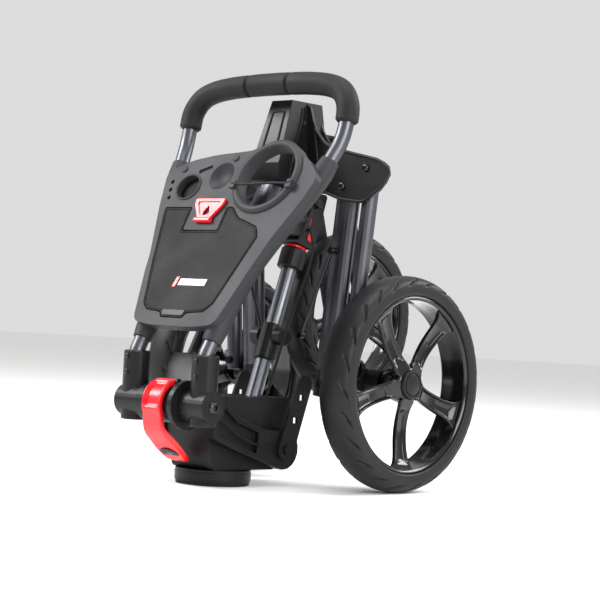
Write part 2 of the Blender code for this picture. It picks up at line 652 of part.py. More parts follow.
# ---------------------------------------------------------------- spine, mast and top housing
def make_frame(finish, frame):
    """Oval spine, leaning mast with its collar, ring and head, and the brake pedal."""
    spine_frame = empty("spine_frame", (0, *SPINE_FOOT), frame, SPINE_LEAN)
    add("main_spine", prism(ellipse(SPINE_HALF_X, SPINE_HALF), SPINE_START, SPINE_END, "Z"),
        finish["tube"], spine_frame)

    mast = empty("mast_frame", (0, *MAST_FOOT), frame, MAST_LEAN)
    up = {"turn": (0, math.radians(-90), 0)}
    pole = add("mast_tube", rod(GAP, MAST_TOP, MAST_R, 20), finish["bright"], mast)
    pole.rotation_euler = up["turn"]
    for name, low, high, radius, look in (("mast_collar", COLLAR_LOW, COLLAR_TOP, COLLAR_R, "plastic"),
                                          ("collar_ring", COLLAR_TOP + GAP, RING_TOP, RING_R, "red")):
        bore = MAST_R + GAP
        soft = 0.0012
        ring = turned([(low, bore), (low, radius - soft), (low + soft, radius), (high - soft, radius),
                       (high, radius - soft), (high, bore)], 24, ring=True)
        add(name, ring, finish[look], mast).rotation_euler = up["turn"]

    outline = rounded([(-0.013, RING_TOP + GAP), (0.013, RING_TOP + GAP), (0.015, RING_TOP + 0.02),
                       (0.013, HEAD_TOP + 0.0082), (-0.013, HEAD_TOP)], 0.003, 1)
    head = add("mast_head", prism(outline, -HEAD_HALF, HEAD_HALF, "X"), finish["plastic"], mast)
    cut(head, rod(0.2, MAST_TOP + GAP, MAST_R + GAP, 20), **up)
    pedal_y = -0.0165
    pedal_t = HEAD_TOP - 0.0126
    ear = capsule((-0.010, pedal_t), (pedal_y, pedal_t), 0.004, 0.003, 4)
    for low, high in ((-0.0195, -0.0165), (0.0265, 0.0295)):
        join(head, prism(ear, low, high, "X"))
    join(head, box((-0.0185, 0.0285), (-0.0125, -0.006), (pedal_t - 0.0035, pedal_t + 0.0035)))
    cut(head, rod(-0.03, 0.04, 0.0015 + RUN, 10), place=(0, pedal_y, pedal_t))

    pedal_axis = empty("brake_pedal_axis", (0, pedal_y, pedal_t), mast)
    plate = rounded([(-0.002, 0.002), (0.002, 0.002), (0.002, -0.026), (-0.004, -0.042), (-0.008, -0.040),
                     (-0.003, -0.024)], 0.0015, 2)
    pedal = add("brake_pedal", prism(plate, -0.0162, 0.0262, "X"), finish["plastic"], pedal_axis)
    join(pedal, rod(-0.0192, 0.0292, 0.0015, 10))

    slider = empty("slider_frame", (0, 0, 0), mast)
    bore = MAST_R + RUN
    soft = 0.0012
    sleeve = add("slider_sleeve",
                 turned([(SLEEVE_LOW, bore), (SLEEVE_LOW, SLEEVE_R - soft), (SLEEVE_LOW + soft, SLEEVE_R),
                         (SLEEVE_TOP - soft, SLEEVE_R), (SLEEVE_TOP, SLEEVE_R - soft), (SLEEVE_TOP, bore)],
                        24, ring=True), finish["plastic"], slider)
    sleeve.rotation_euler = up["turn"]
    for sign in (1, -1):
        boss = turned([(0.011, 0), (0.011, BOSS_R), (BOSS_X - 0.0015, BOSS_R), (BOSS_X, BOSS_R - 0.0015),
                       (BOSS_X, 0)], 20)
        join(sleeve, boss, place=(BOSS_T, 0, 0), turn=(0, math.radians(90 - 90 * (1 - sign)), 0))

    start = Vector((HEAD_HALF + 2 * GAP, 0.010, 0.276))
    route = [start, Vector((0.024, 0.006, 0.276)), Vector((0.040, -0.010, 0.272)),
             Vector((0.051, -0.018, 0.256)), Vector((0.052, -0.023, 0.235)), Vector((0.044, -0.027, 0.205)),
             Vector((0.035, -0.033, 0.170)), Vector((0.030, -0.042, 0.130)),
             Vector((0.026, -0.050, BLOCK_TOP + GAP))]
    add("brake_cable", along(smooth_path(route, 4), 0.0016, sides=8), finish["rubber"], frame)


# right halves of the front and back plates: (X, Z) from the top round to the bottom
FRONT_HALF = [(0.019, HOUSING_TOP), (0.028, 0.388), (0.048, 0.368), (0.076, 0.3615), (0.124, 0.3515),
              (0.141, 0.340), (0.131, 0.321), (0.104, 0.304), (0.070, 0.308), (0.040, HOUSING_LOW)]
BACK_HALF = [(0.013, 0.402), (0.022, 0.380), (0.042, 0.364), (0.076, 0.3585), (0.102, 0.3545),
             (0.117, 0.345), (0.115, 0.331), (0.097, 0.312), (0.070, 0.310), (0.040, HOUSING_LOW + 0.002)]


def make_housing(finish, frame):
    """Twin winged plates on a tapered core that holds the spine, the legs and the fork."""
    whole = [half + [(-x, z) for x, z in reversed(half)] for half in (FRONT_HALF, BACK_HALF)]
    front, back = (rounded(outline, 0.006, 1) for outline in whole)
    housing = add("top_housing", prism(front, PLATE_Y, PLATE_Y + PLATE, "Y"), finish["plastic"], frame)
    join(housing, prism(back, BACK_PLATE_Y, BACK_PLATE_Y + PLATE, "Y"))
    core = prism([(-0.046, 0.326), (-0.046, 0.345), (-0.025, HOUSING_TOP),
                  (BACK_PLATE_Y + 0.001, HOUSING_TOP),
                  (BACK_PLATE_Y + 0.010, 0.350), (BACK_PLATE_Y + 0.010, HOUSING_LOW),
                  (-0.034, HOUSING_LOW)], -1.0, 1.0, "X")
    for vert in core.verts:
        share = (vert.co.z - HOUSING_LOW) / (HOUSING_TOP - HOUSING_LOW)
        vert.co.x *= HOUSING_HALF + (HOUSING_TOP_HALF - HOUSING_HALF) * share
    join(housing, core)
    lug = arc(FORK_PIVOT, FORK_LUG_R, -90, 90, 6) + [(BACK_PLATE_Y + 0.001, FORK_PIVOT[1] + FORK_LUG_R),
                                                      (BACK_PLATE_Y + 0.001, FORK_PIVOT[1] - FORK_LUG_R)]
    join(housing, prism(lug, -FORK_INNER + 0.001, FORK_INNER - 0.001, "X"))
    cut(housing, prism(ellipse(SPINE_HALF_X + GAP, SPINE_HALF + GAP), 0.2, SPINE_END + GAP, "Z"),
        place=(0, *SPINE_FOOT), turn=(-SPINE_LEAN, 0, 0))
    cut(housing, rod(-0.03, 0.03, FORK_BOLT_R + RUN), **across_x(*FORK_PIVOT))
    grip = (PLATE_Y - GAP, BACK_PLATE_Y + PLATE + GAP)
    for side, sign in SIDES:
        for name, pivot in (("leg_pivot_bolt_", LEG_PIVOT), ("link_pivot_bolt_", LINK_PIVOT)):
            spot = (sign * pivot[0], pivot[1])
            cut(housing, rod(-0.01, 0.05, PIVOT_BOLT_R + GAP), **across_y(*spot))
            grip_bolt = bolt(grip[0], grip[1], PIVOT_BOLT_R, 0.007, 0.0025)
            pin = add(name + side, grip_bolt, finish["steel"], frame)
            pin.location = (spot[0], 0, spot[1])
            pin.rotation_euler = (0, 0, math.radians(90))


# ---------------------------------------------------------------- legs, links, rods and carriers
def make_leg(finish, frame, side, sign):
    """Oval leg and round link that form a parallelogram with the wheel carrier, and the spreader rod."""
    tilt = -math.atan2(LEG_VECTOR[0], -LEG_VECTOR[1]) * sign
    leg_axis = empty("leg_axis_" + side, (sign * LEG_PIVOT[0], LEG_Y, LEG_PIVOT[1]), frame)
    leg_axis.rotation_euler = (0, tilt, 0)
    bottom = -(LEG_LENGTH - 0.016)
    section = ellipse(LEG_HALF_X, LEG_HALF_Y)
    leg = add("leg_tube_" + side, prism(section, bottom, 0.014, "Z"), finish["tube"], leg_axis)
    cut(leg, rod(-0.02, 0.02, PIVOT_BOLT_R + RUN), **across_y(0, 0))
    end = prism(ellipse(LEG_HALF_X, LEG_HALF_Y), -(LEG_LENGTH + 0.013), bottom - GAP, "Z")
    knuckle = add("leg_knuckle_" + side, end, finish["plastic"], leg_axis)
    cut(knuckle, rod(-0.02, 0.02, PIVOT_BOLT_R + RUN), **across_y(0, -LEG_LENGTH))

    link_axis = empty("link_axis_" + side, (sign * LINK_PIVOT[0], LEG_Y, LINK_PIVOT[1]), frame)
    link_axis.rotation_euler = (0, tilt, 0)
    link = add("link_tube_" + side, rod(-(LEG_LENGTH + 0.010), 0.010, LINK_R, 16), finish["tube"], link_axis)
    link.rotation_euler = (0, math.radians(-90), 0)
    for reach in (0.0, -LEG_LENGTH):
        cut(link, rod(-0.02, 0.02, PIVOT_BOLT_R + RUN), place=(reach, 0, 0), turn=(0, 0, math.radians(90)))

    share = ROD_ON_LEG / LEG_LENGTH
    top = Vector((sign * (LEG_PIVOT[0] + LEG_VECTOR[0] * share), ROD_Y,
                  LEG_PIVOT[1] + LEG_VECTOR[1] * share))
    low = Vector((sign * ROD_END[0], ROD_Y, ROD_END[1]))
    rod_axis = empty("rod_axis_" + side, top, frame)
    spreader = add("spreader_rod_" + side, along([Vector((0, 0, 0)), low - top], ROD_R, sides=10),
                   finish["steel"], rod_axis)
    pin_end = LEG_Y - LEG_HALF_Y - GAP - ROD_Y
    for place, inner in ((Vector((0, 0, 0)), pin_end), (low - top, 0.0030)):
        join(spreader, rod(-0.0030, inner, ROD_EYE_R, 12), place=place, turn=(0, 0, math.radians(90)))


def make_carrier(finish, frame, side, sign):
    """Wheel carrier behind the leg and link ends, with their pins, and the axle it holds."""
    pivot = empty("carrier_axis_" + side, (sign * LEG_LOWER[0], LEG_Y, LEG_LOWER[1]), frame)
    reach = (sign * (LINK_LOWER[0] - LEG_LOWER[0]), LINK_LOWER[1] - LEG_LOWER[1])
    near = BACK_PLATE_Y - LEG_Y
    hub_y = REAR_AXLE_Y - LEG_Y
    hub_z = REAR_R - LEG_LOWER[1]
    hub_r = 0.0135
    web = prism(capsule((0, 0), reach, 0.012, 0.011), near, near + 0.005, "Y")
    plate = add("wheel_carrier_" + side, web, finish["plastic"], pivot)
    hub_low = sign * (LINK_LOWER[0] - LEG_LOWER[0] - 0.012)
    hub_high = sign * (REAR_X - REAR_WIDTH / 2 - 0.003 - LEG_LOWER[0])
    arm = [(near + 0.002, hub_z - 0.010), (hub_y, hub_z - 0.012), (hub_y, hub_z + 0.012),
           (near + 0.002, hub_z + 0.018)]
    low, high = sorted((hub_low + sign * 0.001, hub_low + sign * 0.013))
    join(plate, prism(arm, low, high, "X"))
    join(plate, rod(*sorted((hub_low, hub_high)), hub_r, 20), **across_x(hub_y, hub_z))
    for spot in ((0, 0), reach):
        join(plate, rod(-LEG_HALF_Y - 0.003, near + 0.002, PIVOT_BOLT_R), **across_y(*spot))
    cut(plate, rod(-0.2, 0.2, REAR_AXLE_R + GAP), **across_x(hub_y, hub_z))
    wheel_x = sign * REAR_X
    start = hub_low + sign * LEG_LOWER[0] - sign * 0.002
    end = wheel_x + sign * 0.012
    shaft = [(start - sign * 0.003, 0), (start - sign * 0.003, 0.009), (start + sign * 0.0015, 0.009),
             (start + sign * 0.0015, REAR_AXLE_R), (end, REAR_AXLE_R), (end, 0)]
    axle = add("rear_axle_" + side, turned(shaft), finish["steel"], frame)
    axle.location = (0, REAR_AXLE_Y, REAR_R)


# ---------------------------------------------------------------- wheels
def make_wheel(finish, frame, name, centre, radius, width, axle_r, sign):
    """Tyre, five-spoke rim and, on a rear wheel, the cap over its hub."""
    axis = empty(name + "_axis", centre, frame)
    half = width / 2
    seat = radius - TYRE_DEPTH
    crown = [(half * 0.80, seat + GAP), (half, seat + 0.004), (half, radius * 0.905),
             (half * 0.80, radius * 0.965), (half * 0.34, radius)]
    ring = crown + [(-x, r) for x, r in reversed(crown)]
    add(name + "_tyre", turned(ring, SEGMENTS, ring=True), finish["tyre"], axis)
    inner = seat - RIM_WALL
    lip = half * 0.80
    bore = axle_r + RUN
    out = lip - 0.003
    web_in, web_out = WEB_OFFSET, WEB_OFFSET + WEB
    profile = [(out, bore), (out, HUB_R - 0.002), (web_out, HUB_R + 0.002), (web_out, inner - 0.006),
               (lip - 0.003, inner), (lip, inner + 0.001), (lip, seat), (-lip, seat), (-lip, inner + 0.001),
               (web_in - 0.004, inner - 0.001), (web_in, inner - 0.006), (web_in, HUB_R + 0.001),
               (-lip, HUB_R - 0.003), (-lip, bore)]
    rim = add(name + "_rim", turned([(sign * x, r) for x, r in profile], SEGMENTS, ring=True),
              finish["rim"], axis)
    hole_in, hole_out = HUB_R + 0.008, inner - 0.009
    for spoke in range(SPOKES):
        middle = SPOKE_PHASE + 360 / SPOKES * (spoke + 0.5)
        half_in = 180 / SPOKES - math.degrees(math.asin(SPOKE_HALF_HUB / hole_in))
        half_out = 180 / SPOKES - math.degrees(math.asin(SPOKE_HALF_RIM / hole_out))
        window = arc((0, 0), hole_out, middle - half_out, middle + half_out, 4)
        window += arc((0, 0), hole_in, middle + half_in, middle - half_in, 2)
        cut(rim, prism(window, -half, half, "X"))
    return axis


def make_cap(finish, axis, name, sign):
    """Domed cap on the rear wheel's hub."""
    base = REAR_WIDTH / 2 * 0.80 - 0.003 + GAP
    profile = [(base, 0), (base, HUB_R - 0.003), (base + 0.003, HUB_R - 0.004),
               (base + 0.0045, HUB_R - 0.008), (base + 0.005, 0)]
    add(name + "_cap", turned([(sign * x, r) for x, r in profile], 24), finish["plastic"], axis)


# ---------------------------------------------------------------- front fork
def make_fork(finish, frame):
    """Two-blade fork that folds about the bolt in the top housing, with its bolt and axle."""
    pivot = Vector(FORK_PIVOT)
    reach = Vector((FRONT_AXLE_Y, FRONT_AXLE_Z)) - pivot
    heading = reach.normalized()
    side = Vector((-heading.y, heading.x)) * FORK_HALF
    axis = empty("fork_axis", (0, *FORK_PIVOT), frame)
    blade = capsule((0, 0), tuple(reach), FORK_HALF, FORK_HALF)
    outer = FORK_INNER + FORK_BLADE
    fork = add("front_fork", prism(blade, FORK_INNER, outer, "X"), finish["plastic"], axis)
    join(fork, prism(blade, -outer, -FORK_INNER, "X"))
    low, high = (heading * s for s in CROWN)
    slim = side * 0.9
    crown = [tuple(p) for p in (low - slim, high - slim, high + slim, low + slim)]
    join(fork, prism(crown, -FORK_INNER - 0.002, FORK_INNER + 0.002, "X"))
    cut(fork, rod(-0.04, 0.04, FORK_BOLT_R + RUN))
    cut(fork, rod(-0.04, 0.04, FRONT_AXLE_R + GAP), **across_x(*reach))
    add("fork_pivot_bolt", bolt(-outer - GAP, outer + GAP, FORK_BOLT_R, 0.007, 0.003), finish["steel"], axis)
    shaft = bolt(-outer - GAP, outer + GAP, FRONT_AXLE_R, 0.0085, 0.003)
    axle = add("front_axle", shaft, finish["steel"], axis)
    axle.location = (0, *reach)


def main():
    for old in list(bpy.data.objects):
        bpy.data.objects.remove(old, do_unlink=True)
    finish = make_finishes()
    frame = empty("trolley_frame", (0, -DEPTH_MIDDLE, 0))
    make_base(finish, frame)
    hinge = make_hinge(finish, frame)
    make_handle(finish, hinge)
    make_console(finish, hinge)
    make_frame(finish, frame)
    make_housing(finish, frame)
    make_fork(finish, frame)
    for side, sign in SIDES:
        make_leg(finish, frame, side, sign)
        make_carrier(finish, frame, side, sign)
        name = "rear_wheel_" + side
        spot = (sign * REAR_X, REAR_AXLE_Y, REAR_R)
        axis = make_wheel(finish, frame, name, spot, REAR_R, REAR_WIDTH, REAR_AXLE_R, sign)
        make_cap(finish, axis, name, sign)
    make_wheel(finish, frame, "front_wheel", (0, FRONT_AXLE_Y, FRONT_AXLE_Z), FRONT_R, FRONT_WIDTH,
               FRONT_AXLE_R, 1)
    for made in bpy.data.objects:
        if any(step.type == "BOOLEAN" for step in made.modifiers):
            tidy(made)


main()
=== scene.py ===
"""Looks of a folded golf push trolley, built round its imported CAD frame.

Everything is in metres in the frame of the CAD: X along the rear axle, -Y towards the console, +Z up.
Each piece rides on a CAD body. Where a plain CAD solid is replaced, the new piece keeps its size and
place and adds the detail of the real moulding.
"""

import json
import math

import bmesh
import bpy
from bpy.props import FloatProperty, FloatVectorProperty, IntProperty, PointerProperty
from mathutils import Matrix, Vector


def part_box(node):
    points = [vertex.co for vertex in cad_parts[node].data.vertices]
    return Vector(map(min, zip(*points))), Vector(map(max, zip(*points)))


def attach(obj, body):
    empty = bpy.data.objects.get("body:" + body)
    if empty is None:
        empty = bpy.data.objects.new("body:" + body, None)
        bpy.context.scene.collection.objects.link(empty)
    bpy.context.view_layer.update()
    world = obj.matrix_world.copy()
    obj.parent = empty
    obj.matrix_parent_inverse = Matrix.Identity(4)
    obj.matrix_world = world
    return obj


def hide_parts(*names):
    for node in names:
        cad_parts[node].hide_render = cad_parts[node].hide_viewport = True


bl_info = {
    "name": "Folded Push Trolley",
    "version": (1, 0, 0),
    "blender": (4, 5, 0),
    "location": "View3D > Sidebar > Trolley",
    "description": "Builds the looks of a folded golf push trolley round its CAD frame",
    "category": "Object",
}

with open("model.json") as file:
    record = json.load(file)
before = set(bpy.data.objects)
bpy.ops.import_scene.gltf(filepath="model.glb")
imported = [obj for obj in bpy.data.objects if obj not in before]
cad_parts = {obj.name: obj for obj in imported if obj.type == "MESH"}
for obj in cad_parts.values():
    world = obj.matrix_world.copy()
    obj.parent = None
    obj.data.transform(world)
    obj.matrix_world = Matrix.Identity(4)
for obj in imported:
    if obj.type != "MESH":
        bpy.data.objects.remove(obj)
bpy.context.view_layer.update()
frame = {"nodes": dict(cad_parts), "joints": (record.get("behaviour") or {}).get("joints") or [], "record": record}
PLACES = {joint["name"]: Vector(joint["pos_m"]) for joint in frame["joints"] if "pos_m" in joint}
HINGE = PLACES["handle_fold"]
HANDLE_LEAN = math.radians(26.7)
MAST_LEAN = math.radians(17.8)
CONSOLE = Matrix.Translation(HINGE + Vector((0, -0.001, 0.0515))) @ Matrix.Rotation(-HANDLE_LEAN, 4, "X")
FRONT_TO_ROW = HINGE.y + 0.168     # added to a Y of the CAD source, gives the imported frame's Y
STILL = Matrix.Identity(4)
MAST = (Matrix.Translation(Vector((0, FRONT_TO_ROW - 0.0617, 0.035)))
        @ Matrix.Rotation(-MAST_LEAN, 4, "X"))
SIDES = (("right", 1), ("left", -1))
SHARP = math.radians(38)           # faces that meet at more than this keep a hard edge
CAD_SHARP = math.radians(35)       # the same on the plain CAD nodes
MADE = {}                          # finishes by name, filled by paint()


# ---------------------------------------------------------------- settings
def linear(code):
    """Linear RGB of an sRGB hex colour."""
    values = [int(code[i:i + 2], 16) / 255 for i in (1, 3, 5)]
    return [v / 12.92 if v <= 0.04045 else ((v + 0.055) / 1.055) ** 2.4 for v in values]


def colour(name, code, description):
    return FloatVectorProperty(name=name, description=description, default=linear(code), size=3,
                               min=0.0, max=1.0, subtype="COLOR")


def length(name, value, description):
    return FloatProperty(name=name, description=description, default=value, min=0.0, unit="LENGTH")


class TrolleyColours(bpy.types.PropertyGroup):
    """Colours of the trolley's finishes."""
    tube: colour("Tube", "#55565B", "Anodised aluminium of the handle, the legs and the spine")
    mast: colour("Mast", "#6C6E73", "Drawn aluminium of the mast")
    nylon: colour("Nylon", "#101012", "Black moulded nylon")
    console: colour("Console", "#29292C", "Dark grey moulded ABS of the console")
    panel: colour("Panel", "#0A0A0B", "Embossed black panel of the lid")
    red: colour("Red", "#D8121C", "Red moulded nylon of the lever, the clip and the collar ring")
    rim: colour("Rim", "#0B0B0C", "Polished black nylon of the wheels")
    foam: colour("Foam", "#131315", "Foam of the grips")
    tyre: colour("Tyre", "#151517", "Rubber of the tyres")
    rubber: colour("Rubber", "#131314", "Rubber of the straps, the cable and the pad")
    screw: colour("Screw", "#3A3B3E", "Blackened steel of the screws")


class TrolleySizes(bpy.types.PropertyGroup):
    """Sizes of the details that the looks add to the CAD."""
    sipes: IntProperty(name="Sipes", description="Curved cuts round one shoulder of a tyre",
                       default=24, min=6, max=60)
    sipe_depth: length("Sipe depth", 0.0020, "Depth of the cuts in the tyre's shoulder")
    sipe_width: length("Sipe width", 0.0026, "Half width of a cut at the tyre's surface")
    spoke_groove: length("Spoke groove", 0.0034, "Depth of the long recess in a spoke's face")
    cup_wall: length("Cup wall", 0.0090, "Width of the ring round the cup opening")
    rim_trim: length("Wing rim", 0.0017, "Radius of the bead round the wing plates")
    screw_head: length("Screw head", 0.0042, "Radius of the screw heads on the legs and links")


# ---------------------------------------------------------------- material nodes
BROAD_SCALE = 22.0                 # soft patches about 45 mm across, which vary the shade and the gloss


def node(tree, kind, sockets=None, **settings):
    """Add a node, set its settings, and link or set its inputs."""
    made = tree.nodes.new(kind)
    for name, value in settings.items():
        setattr(made, name, value)
    for name, value in (sockets or {}).items():
        if isinstance(value, bpy.types.NodeSocket):
            tree.links.new(value, made.inputs[name])
        else:
            made.inputs[name].default_value = value
    return made


def moulded(name, tint, roughness, grain, height, edge, spread=0.10, **sockets):
    """Moulded or skinned surface: grain size and height in mm, worn edge radius in mm."""
    material = bpy.data.materials.new(name)
    material.use_nodes = True
    tree = material.node_tree
    tree.nodes.clear()
    spot = node(tree, "ShaderNodeTexCoord").outputs["Object"]
    fine = node(tree, "ShaderNodeTexNoise", {"Vector": spot, "Scale": 1000 / grain, "Detail": 2.0,
                                             "Roughness": 0.6})
    broad = node(tree, "ShaderNodeTexNoise", {"Vector": spot, "Scale": BROAD_SCALE, "Detail": 3.0})
    dark = [c * (1 - spread) for c in tint] + [1.0]
    light = [min(1.0, c * (1 + spread)) for c in tint] + [1.0]
    # Mix has one socket of each name per data type, so its colour sockets go by their place
    blend = node(tree, "ShaderNodeMix", {0: broad.outputs["Fac"], 6: dark, 7: light}, data_type="RGBA")
    gloss = node(tree, "ShaderNodeMapRange",
                 {"Value": broad.outputs["Fac"], "From Min": 0.3, "From Max": 0.7,
                  "To Min": max(0.03, roughness - 0.05), "To Max": min(1.0, roughness + 0.06)})
    round_edge = node(tree, "ShaderNodeBevel", {"Radius": edge / 1000}, samples=4)
    bump = node(tree, "ShaderNodeBump", {"Height": fine.outputs["Fac"], "Strength": 1.0,
                                         "Distance": height / 1000,
                                         "Normal": round_edge.outputs["Normal"]})
    shader = node(tree, "ShaderNodeBsdfPrincipled",
                  {"Base Color": blend.outputs[2], "Roughness": gloss.outputs["Result"],
                   "Normal": bump.outputs["Normal"], "Specular IOR Level": 0.22,
                   **{k.replace("_", " "): v for k, v in sockets.items()}})
    node(tree, "ShaderNodeOutputMaterial", {"Surface": shader.outputs["BSDF"]})
    return material


def paint(colours):
    """All finishes of the trolley, each named for its stuff and how it was made."""
    # drawn and anodised aluminium: a soft metal highlight along each tube, with hardly any grain
    MADE["tube"] = moulded("anodised_aluminium_drawn", colours.tube, 0.36, 3.0, 0.02, 0.3, 0.06,
                           Metallic=1.0, Specular_IOR_Level=0.5)
    # bright drawn aluminium: a paler and sharper highlight
    MADE["mast"] = moulded("bright_aluminium_drawn", colours.mast, 0.38, 3.0, 0.01, 0.3, 0.05,
                           Metallic=1.0, Specular_IOR_Level=0.5)
    # glass-filled nylon from a spark-eroded mould: satin, with a fine grain that breaks the highlights
    MADE["nylon"] = moulded("black_nylon_moulded", colours.nylon, 0.40, 1.3, 0.12, 0.9)
    # ABS from a textured mould: dry grey sheen, grain drawn at 1.5 mm so that it shows
    MADE["console"] = moulded("grey_abs_moulded", colours.console, 0.52, 1.5, 0.30, 1.3)
    # ABS panel embossed like leather, deeper and darker than the tray round it
    MADE["panel"] = moulded("black_abs_embossed", colours.panel, 0.50, 2.0, 0.50, 0.6,
                            Specular_IOR_Level=0.12)
    # coloured nylon from a polished mould: clean glossy highlights, no grain
    MADE["red"] = moulded("red_nylon_polished", colours.red, 0.24, 6.0, 0.02, 0.8, 0.04,
                          Specular_IOR_Level=0.5)
    # black nylon from a mirror-polished mould: near black with sharp bright lines on its edges
    MADE["rim"] = moulded("black_nylon_mirror_polished", colours.rim, 0.17, 8.0, 0.02, 0.9, 0.05,
                          Coat_Weight=0.15, Specular_IOR_Level=0.35)
    # closed-cell foam with its moulded skin: matt, softly pitted
    MADE["foam"] = moulded("eva_foam_skinned", colours.foam, 0.62, 1.8, 0.45, 0.6, 0.14)
    # moulded tyre rubber: matt dark grey with a broad soft sheen
    MADE["tyre"] = moulded("tyre_rubber_moulded", colours.tyre, 0.46, 1.6, 0.12, 0.4)
    # soft rubber: dull and even
    MADE["rubber"] = moulded("rubber_moulded", colours.rubber, 0.60, 1.2, 0.06, 0.5)
    # oxidised steel screws: dark metal with small bright points
    MADE["screw"] = moulded("steel_black_oxide", colours.screw, 0.30, 4.0, 0.01, 0.3, 0.05, Metallic=1.0,
                            Specular_IOR_Level=0.5)


# ---------------------------------------------------------------- shapes
def lathe(profile, segments=72, ring=False):
    """Solid of revolution about X from (x, radius) points."""
    bm = bmesh.new()
    turns = [2 * math.pi * i / segments for i in range(segments)]
    rows = []
    for x, radius in profile:
        if radius < 1e-7:
            rows.append([bm.verts.new((x, 0, 0))])
        else:
            rows.append([bm.verts.new((x, radius * math.cos(a), radius * math.sin(a))) for a in turns])
    following = rows[1:] + rows[:1] if ring else rows[1:]
    for first, second in zip(rows, following):
        for i in range(segments):
            j = (i + 1) % segments
            corners = [first[i % len(first)], first[j % len(first)],
                       second[j % len(second)], second[i % len(second)]]
            corners = list(dict.fromkeys(corners))
            if len(corners) > 2:
                bm.faces.new(corners)
    return bm


def loft(rows, ring=False, capped=True):
    """Skin over closed rings of points of one count."""
    bm = bmesh.new()
    made = [[bm.verts.new(p) for p in row] for row in rows]
    following = made[1:] + made[:1] if ring else made[1:]
    count = len(made[0])
    for first, second in zip(made, following):
        for i in range(count):
            j = (i + 1) % count
            bm.faces.new([first[i], first[j], second[j], second[i]])
    if capped and not ring:
        bm.faces.new(made[0])
        bm.faces.new(made[-1][::-1])
    return bm


def swept(path, radii, sides=24, inner=0.0, ring=False):
    """Round bar along a path with a radius at each point, or a sleeve when it has an inner radius."""
    steps = [(b - a).normalized() for a, b in zip(path, path[1:])]
    if ring:
        steps.append((path[0] - path[-1]).normalized())
        headings = [(steps[i - 1] + steps[i]).normalized() for i in range(len(path))]
    else:
        headings = [steps[0]] + [(a + b).normalized() for a, b in zip(steps, steps[1:])] + [steps[-1]]
    across = headings[0].orthogonal().normalized()
    outside, inside = [], []
    for place, heading, radius in zip(path, headings, radii):
        across = (across - heading * across.dot(heading)).normalized()
        other = heading.cross(across)
        arms = [across * math.cos(a) + other * math.sin(a)
                for a in (2 * math.pi * i / sides for i in range(sides))]
        outside.append([place + arm * radius for arm in arms])
        inside.append([place + arm * inner for arm in arms])
    if inner:
        return loft(outside + inside[::-1], ring=True)
    return loft(outside, ring=ring)


def slab(outline, low, high, along="Y"):
    """Solid of an outline: (Y, Z) points along X, (X, Z) along Y or (X, Y) along Z."""
    spots = {"X": lambda a, b, d: (d, a, b), "Y": lambda a, b, d: (a, d, b), "Z": lambda a, b, d: (a, b, d)}
    return loft([[Vector(spots[along](a, b, d)) for a, b in outline] for d in (low, high)])


def rounded(corners, radius, steps=5):
    """Outline with each corner turned into a short curve of about the given radius."""
    points = []
    for i, corner in enumerate(corners):
        here = Vector(corner)
        before = Vector(corners[i - 1]) - here
        after = Vector(corners[(i + 1) % len(corners)]) - here
        start = here + before.normalized() * min(radius, 0.45 * before.length)
        end = here + after.normalized() * min(radius, 0.45 * after.length)
        for k in range(steps + 1):
            t = k / steps
            points.append(tuple(start * (1 - t) ** 2 + here * 2 * t * (1 - t) + end * t ** 2))
    return points


def grown(outline, margin):
    """Outline moved outwards by a margin."""
    area = sum(a[0] * b[1] - b[0] * a[1] for a, b in zip(outline, outline[1:] + outline[:1]))
    sense = 1 if area > 0 else -1
    points = []
    for i, point in enumerate(outline):
        before = (Vector(point) - Vector(outline[i - 1])).normalized()
        after = (Vector(outline[(i + 1) % len(outline)]) - Vector(point)).normalized()
        bisector = sum((Vector((d.y, -d.x)) * sense for d in (before, after)), Vector((0, 0)))
        bisector /= max(bisector.length_squared / 2, 0.35)
        points.append(tuple(Vector(point) + bisector * margin))
    return points


def oval(centre, half_a, half_b, segments=48):
    """Outline of an ellipse."""
    turns = [2 * math.pi * i / segments for i in range(segments)]
    return [(centre[0] + half_a * math.cos(a), centre[1] + half_b * math.sin(a)) for a in turns]


def curve_through(points, steps=6):
    """Catmull-Rom curve through the points."""
    places = [Vector(p) for p in points]
    padded = [places[0] * 2 - places[1]] + places + [places[-1] * 2 - places[-2]]
    found = []
    for p0, p1, p2, p3 in zip(padded, padded[1:], padded[2:], padded[3:]):
        for k in range(steps):
            t = k / steps
            found.append(0.5 * ((2 * p1) + (p2 - p0) * t + (2 * p0 - 5 * p1 + 4 * p2 - p3) * t ** 2
                                + (3 * p1 - p0 - 3 * p2 + p3) * t ** 3))
    return found + [places[-1]]


def ease(value):
    """Smooth step from 0 to 1."""
    value = max(0.0, min(1.0, value))
    return value * value * (3 - 2 * value)


def travelled(path):
    """Distance run along a path at each of its points."""
    runs = [0.0]
    for a, b in zip(path, path[1:]):
        runs.append(runs[-1] + math.dist(a, b))
    return runs


def both_sides(path, start, end):
    """A stretch of a symmetric path, and the one that mirrors it."""
    count = len(path)
    return path[start:end], path[count - end:count - start]


def turned(x=0.0, y=0.0, z=0.0, about="Z", degrees=0.0):
    """Matrix that turns about an axis and then moves."""
    return Matrix.Translation((x, y, z)) @ Matrix.Rotation(math.radians(degrees), 4, about)


def moved(bm, matrix):
    """Transform a bmesh and give it back."""
    bmesh.ops.transform(bm, matrix=matrix, verts=bm.verts)
    return bm


def flipped(sign):
    """Matrix that mirrors X for the left side."""
    return Matrix.Diagonal((sign, 1, 1, 1))


def bar(path, radius, sides=12, ring=False):
    """Round bar of one radius along a path."""
    return swept(path, [radius] * len(path), sides, ring=ring)


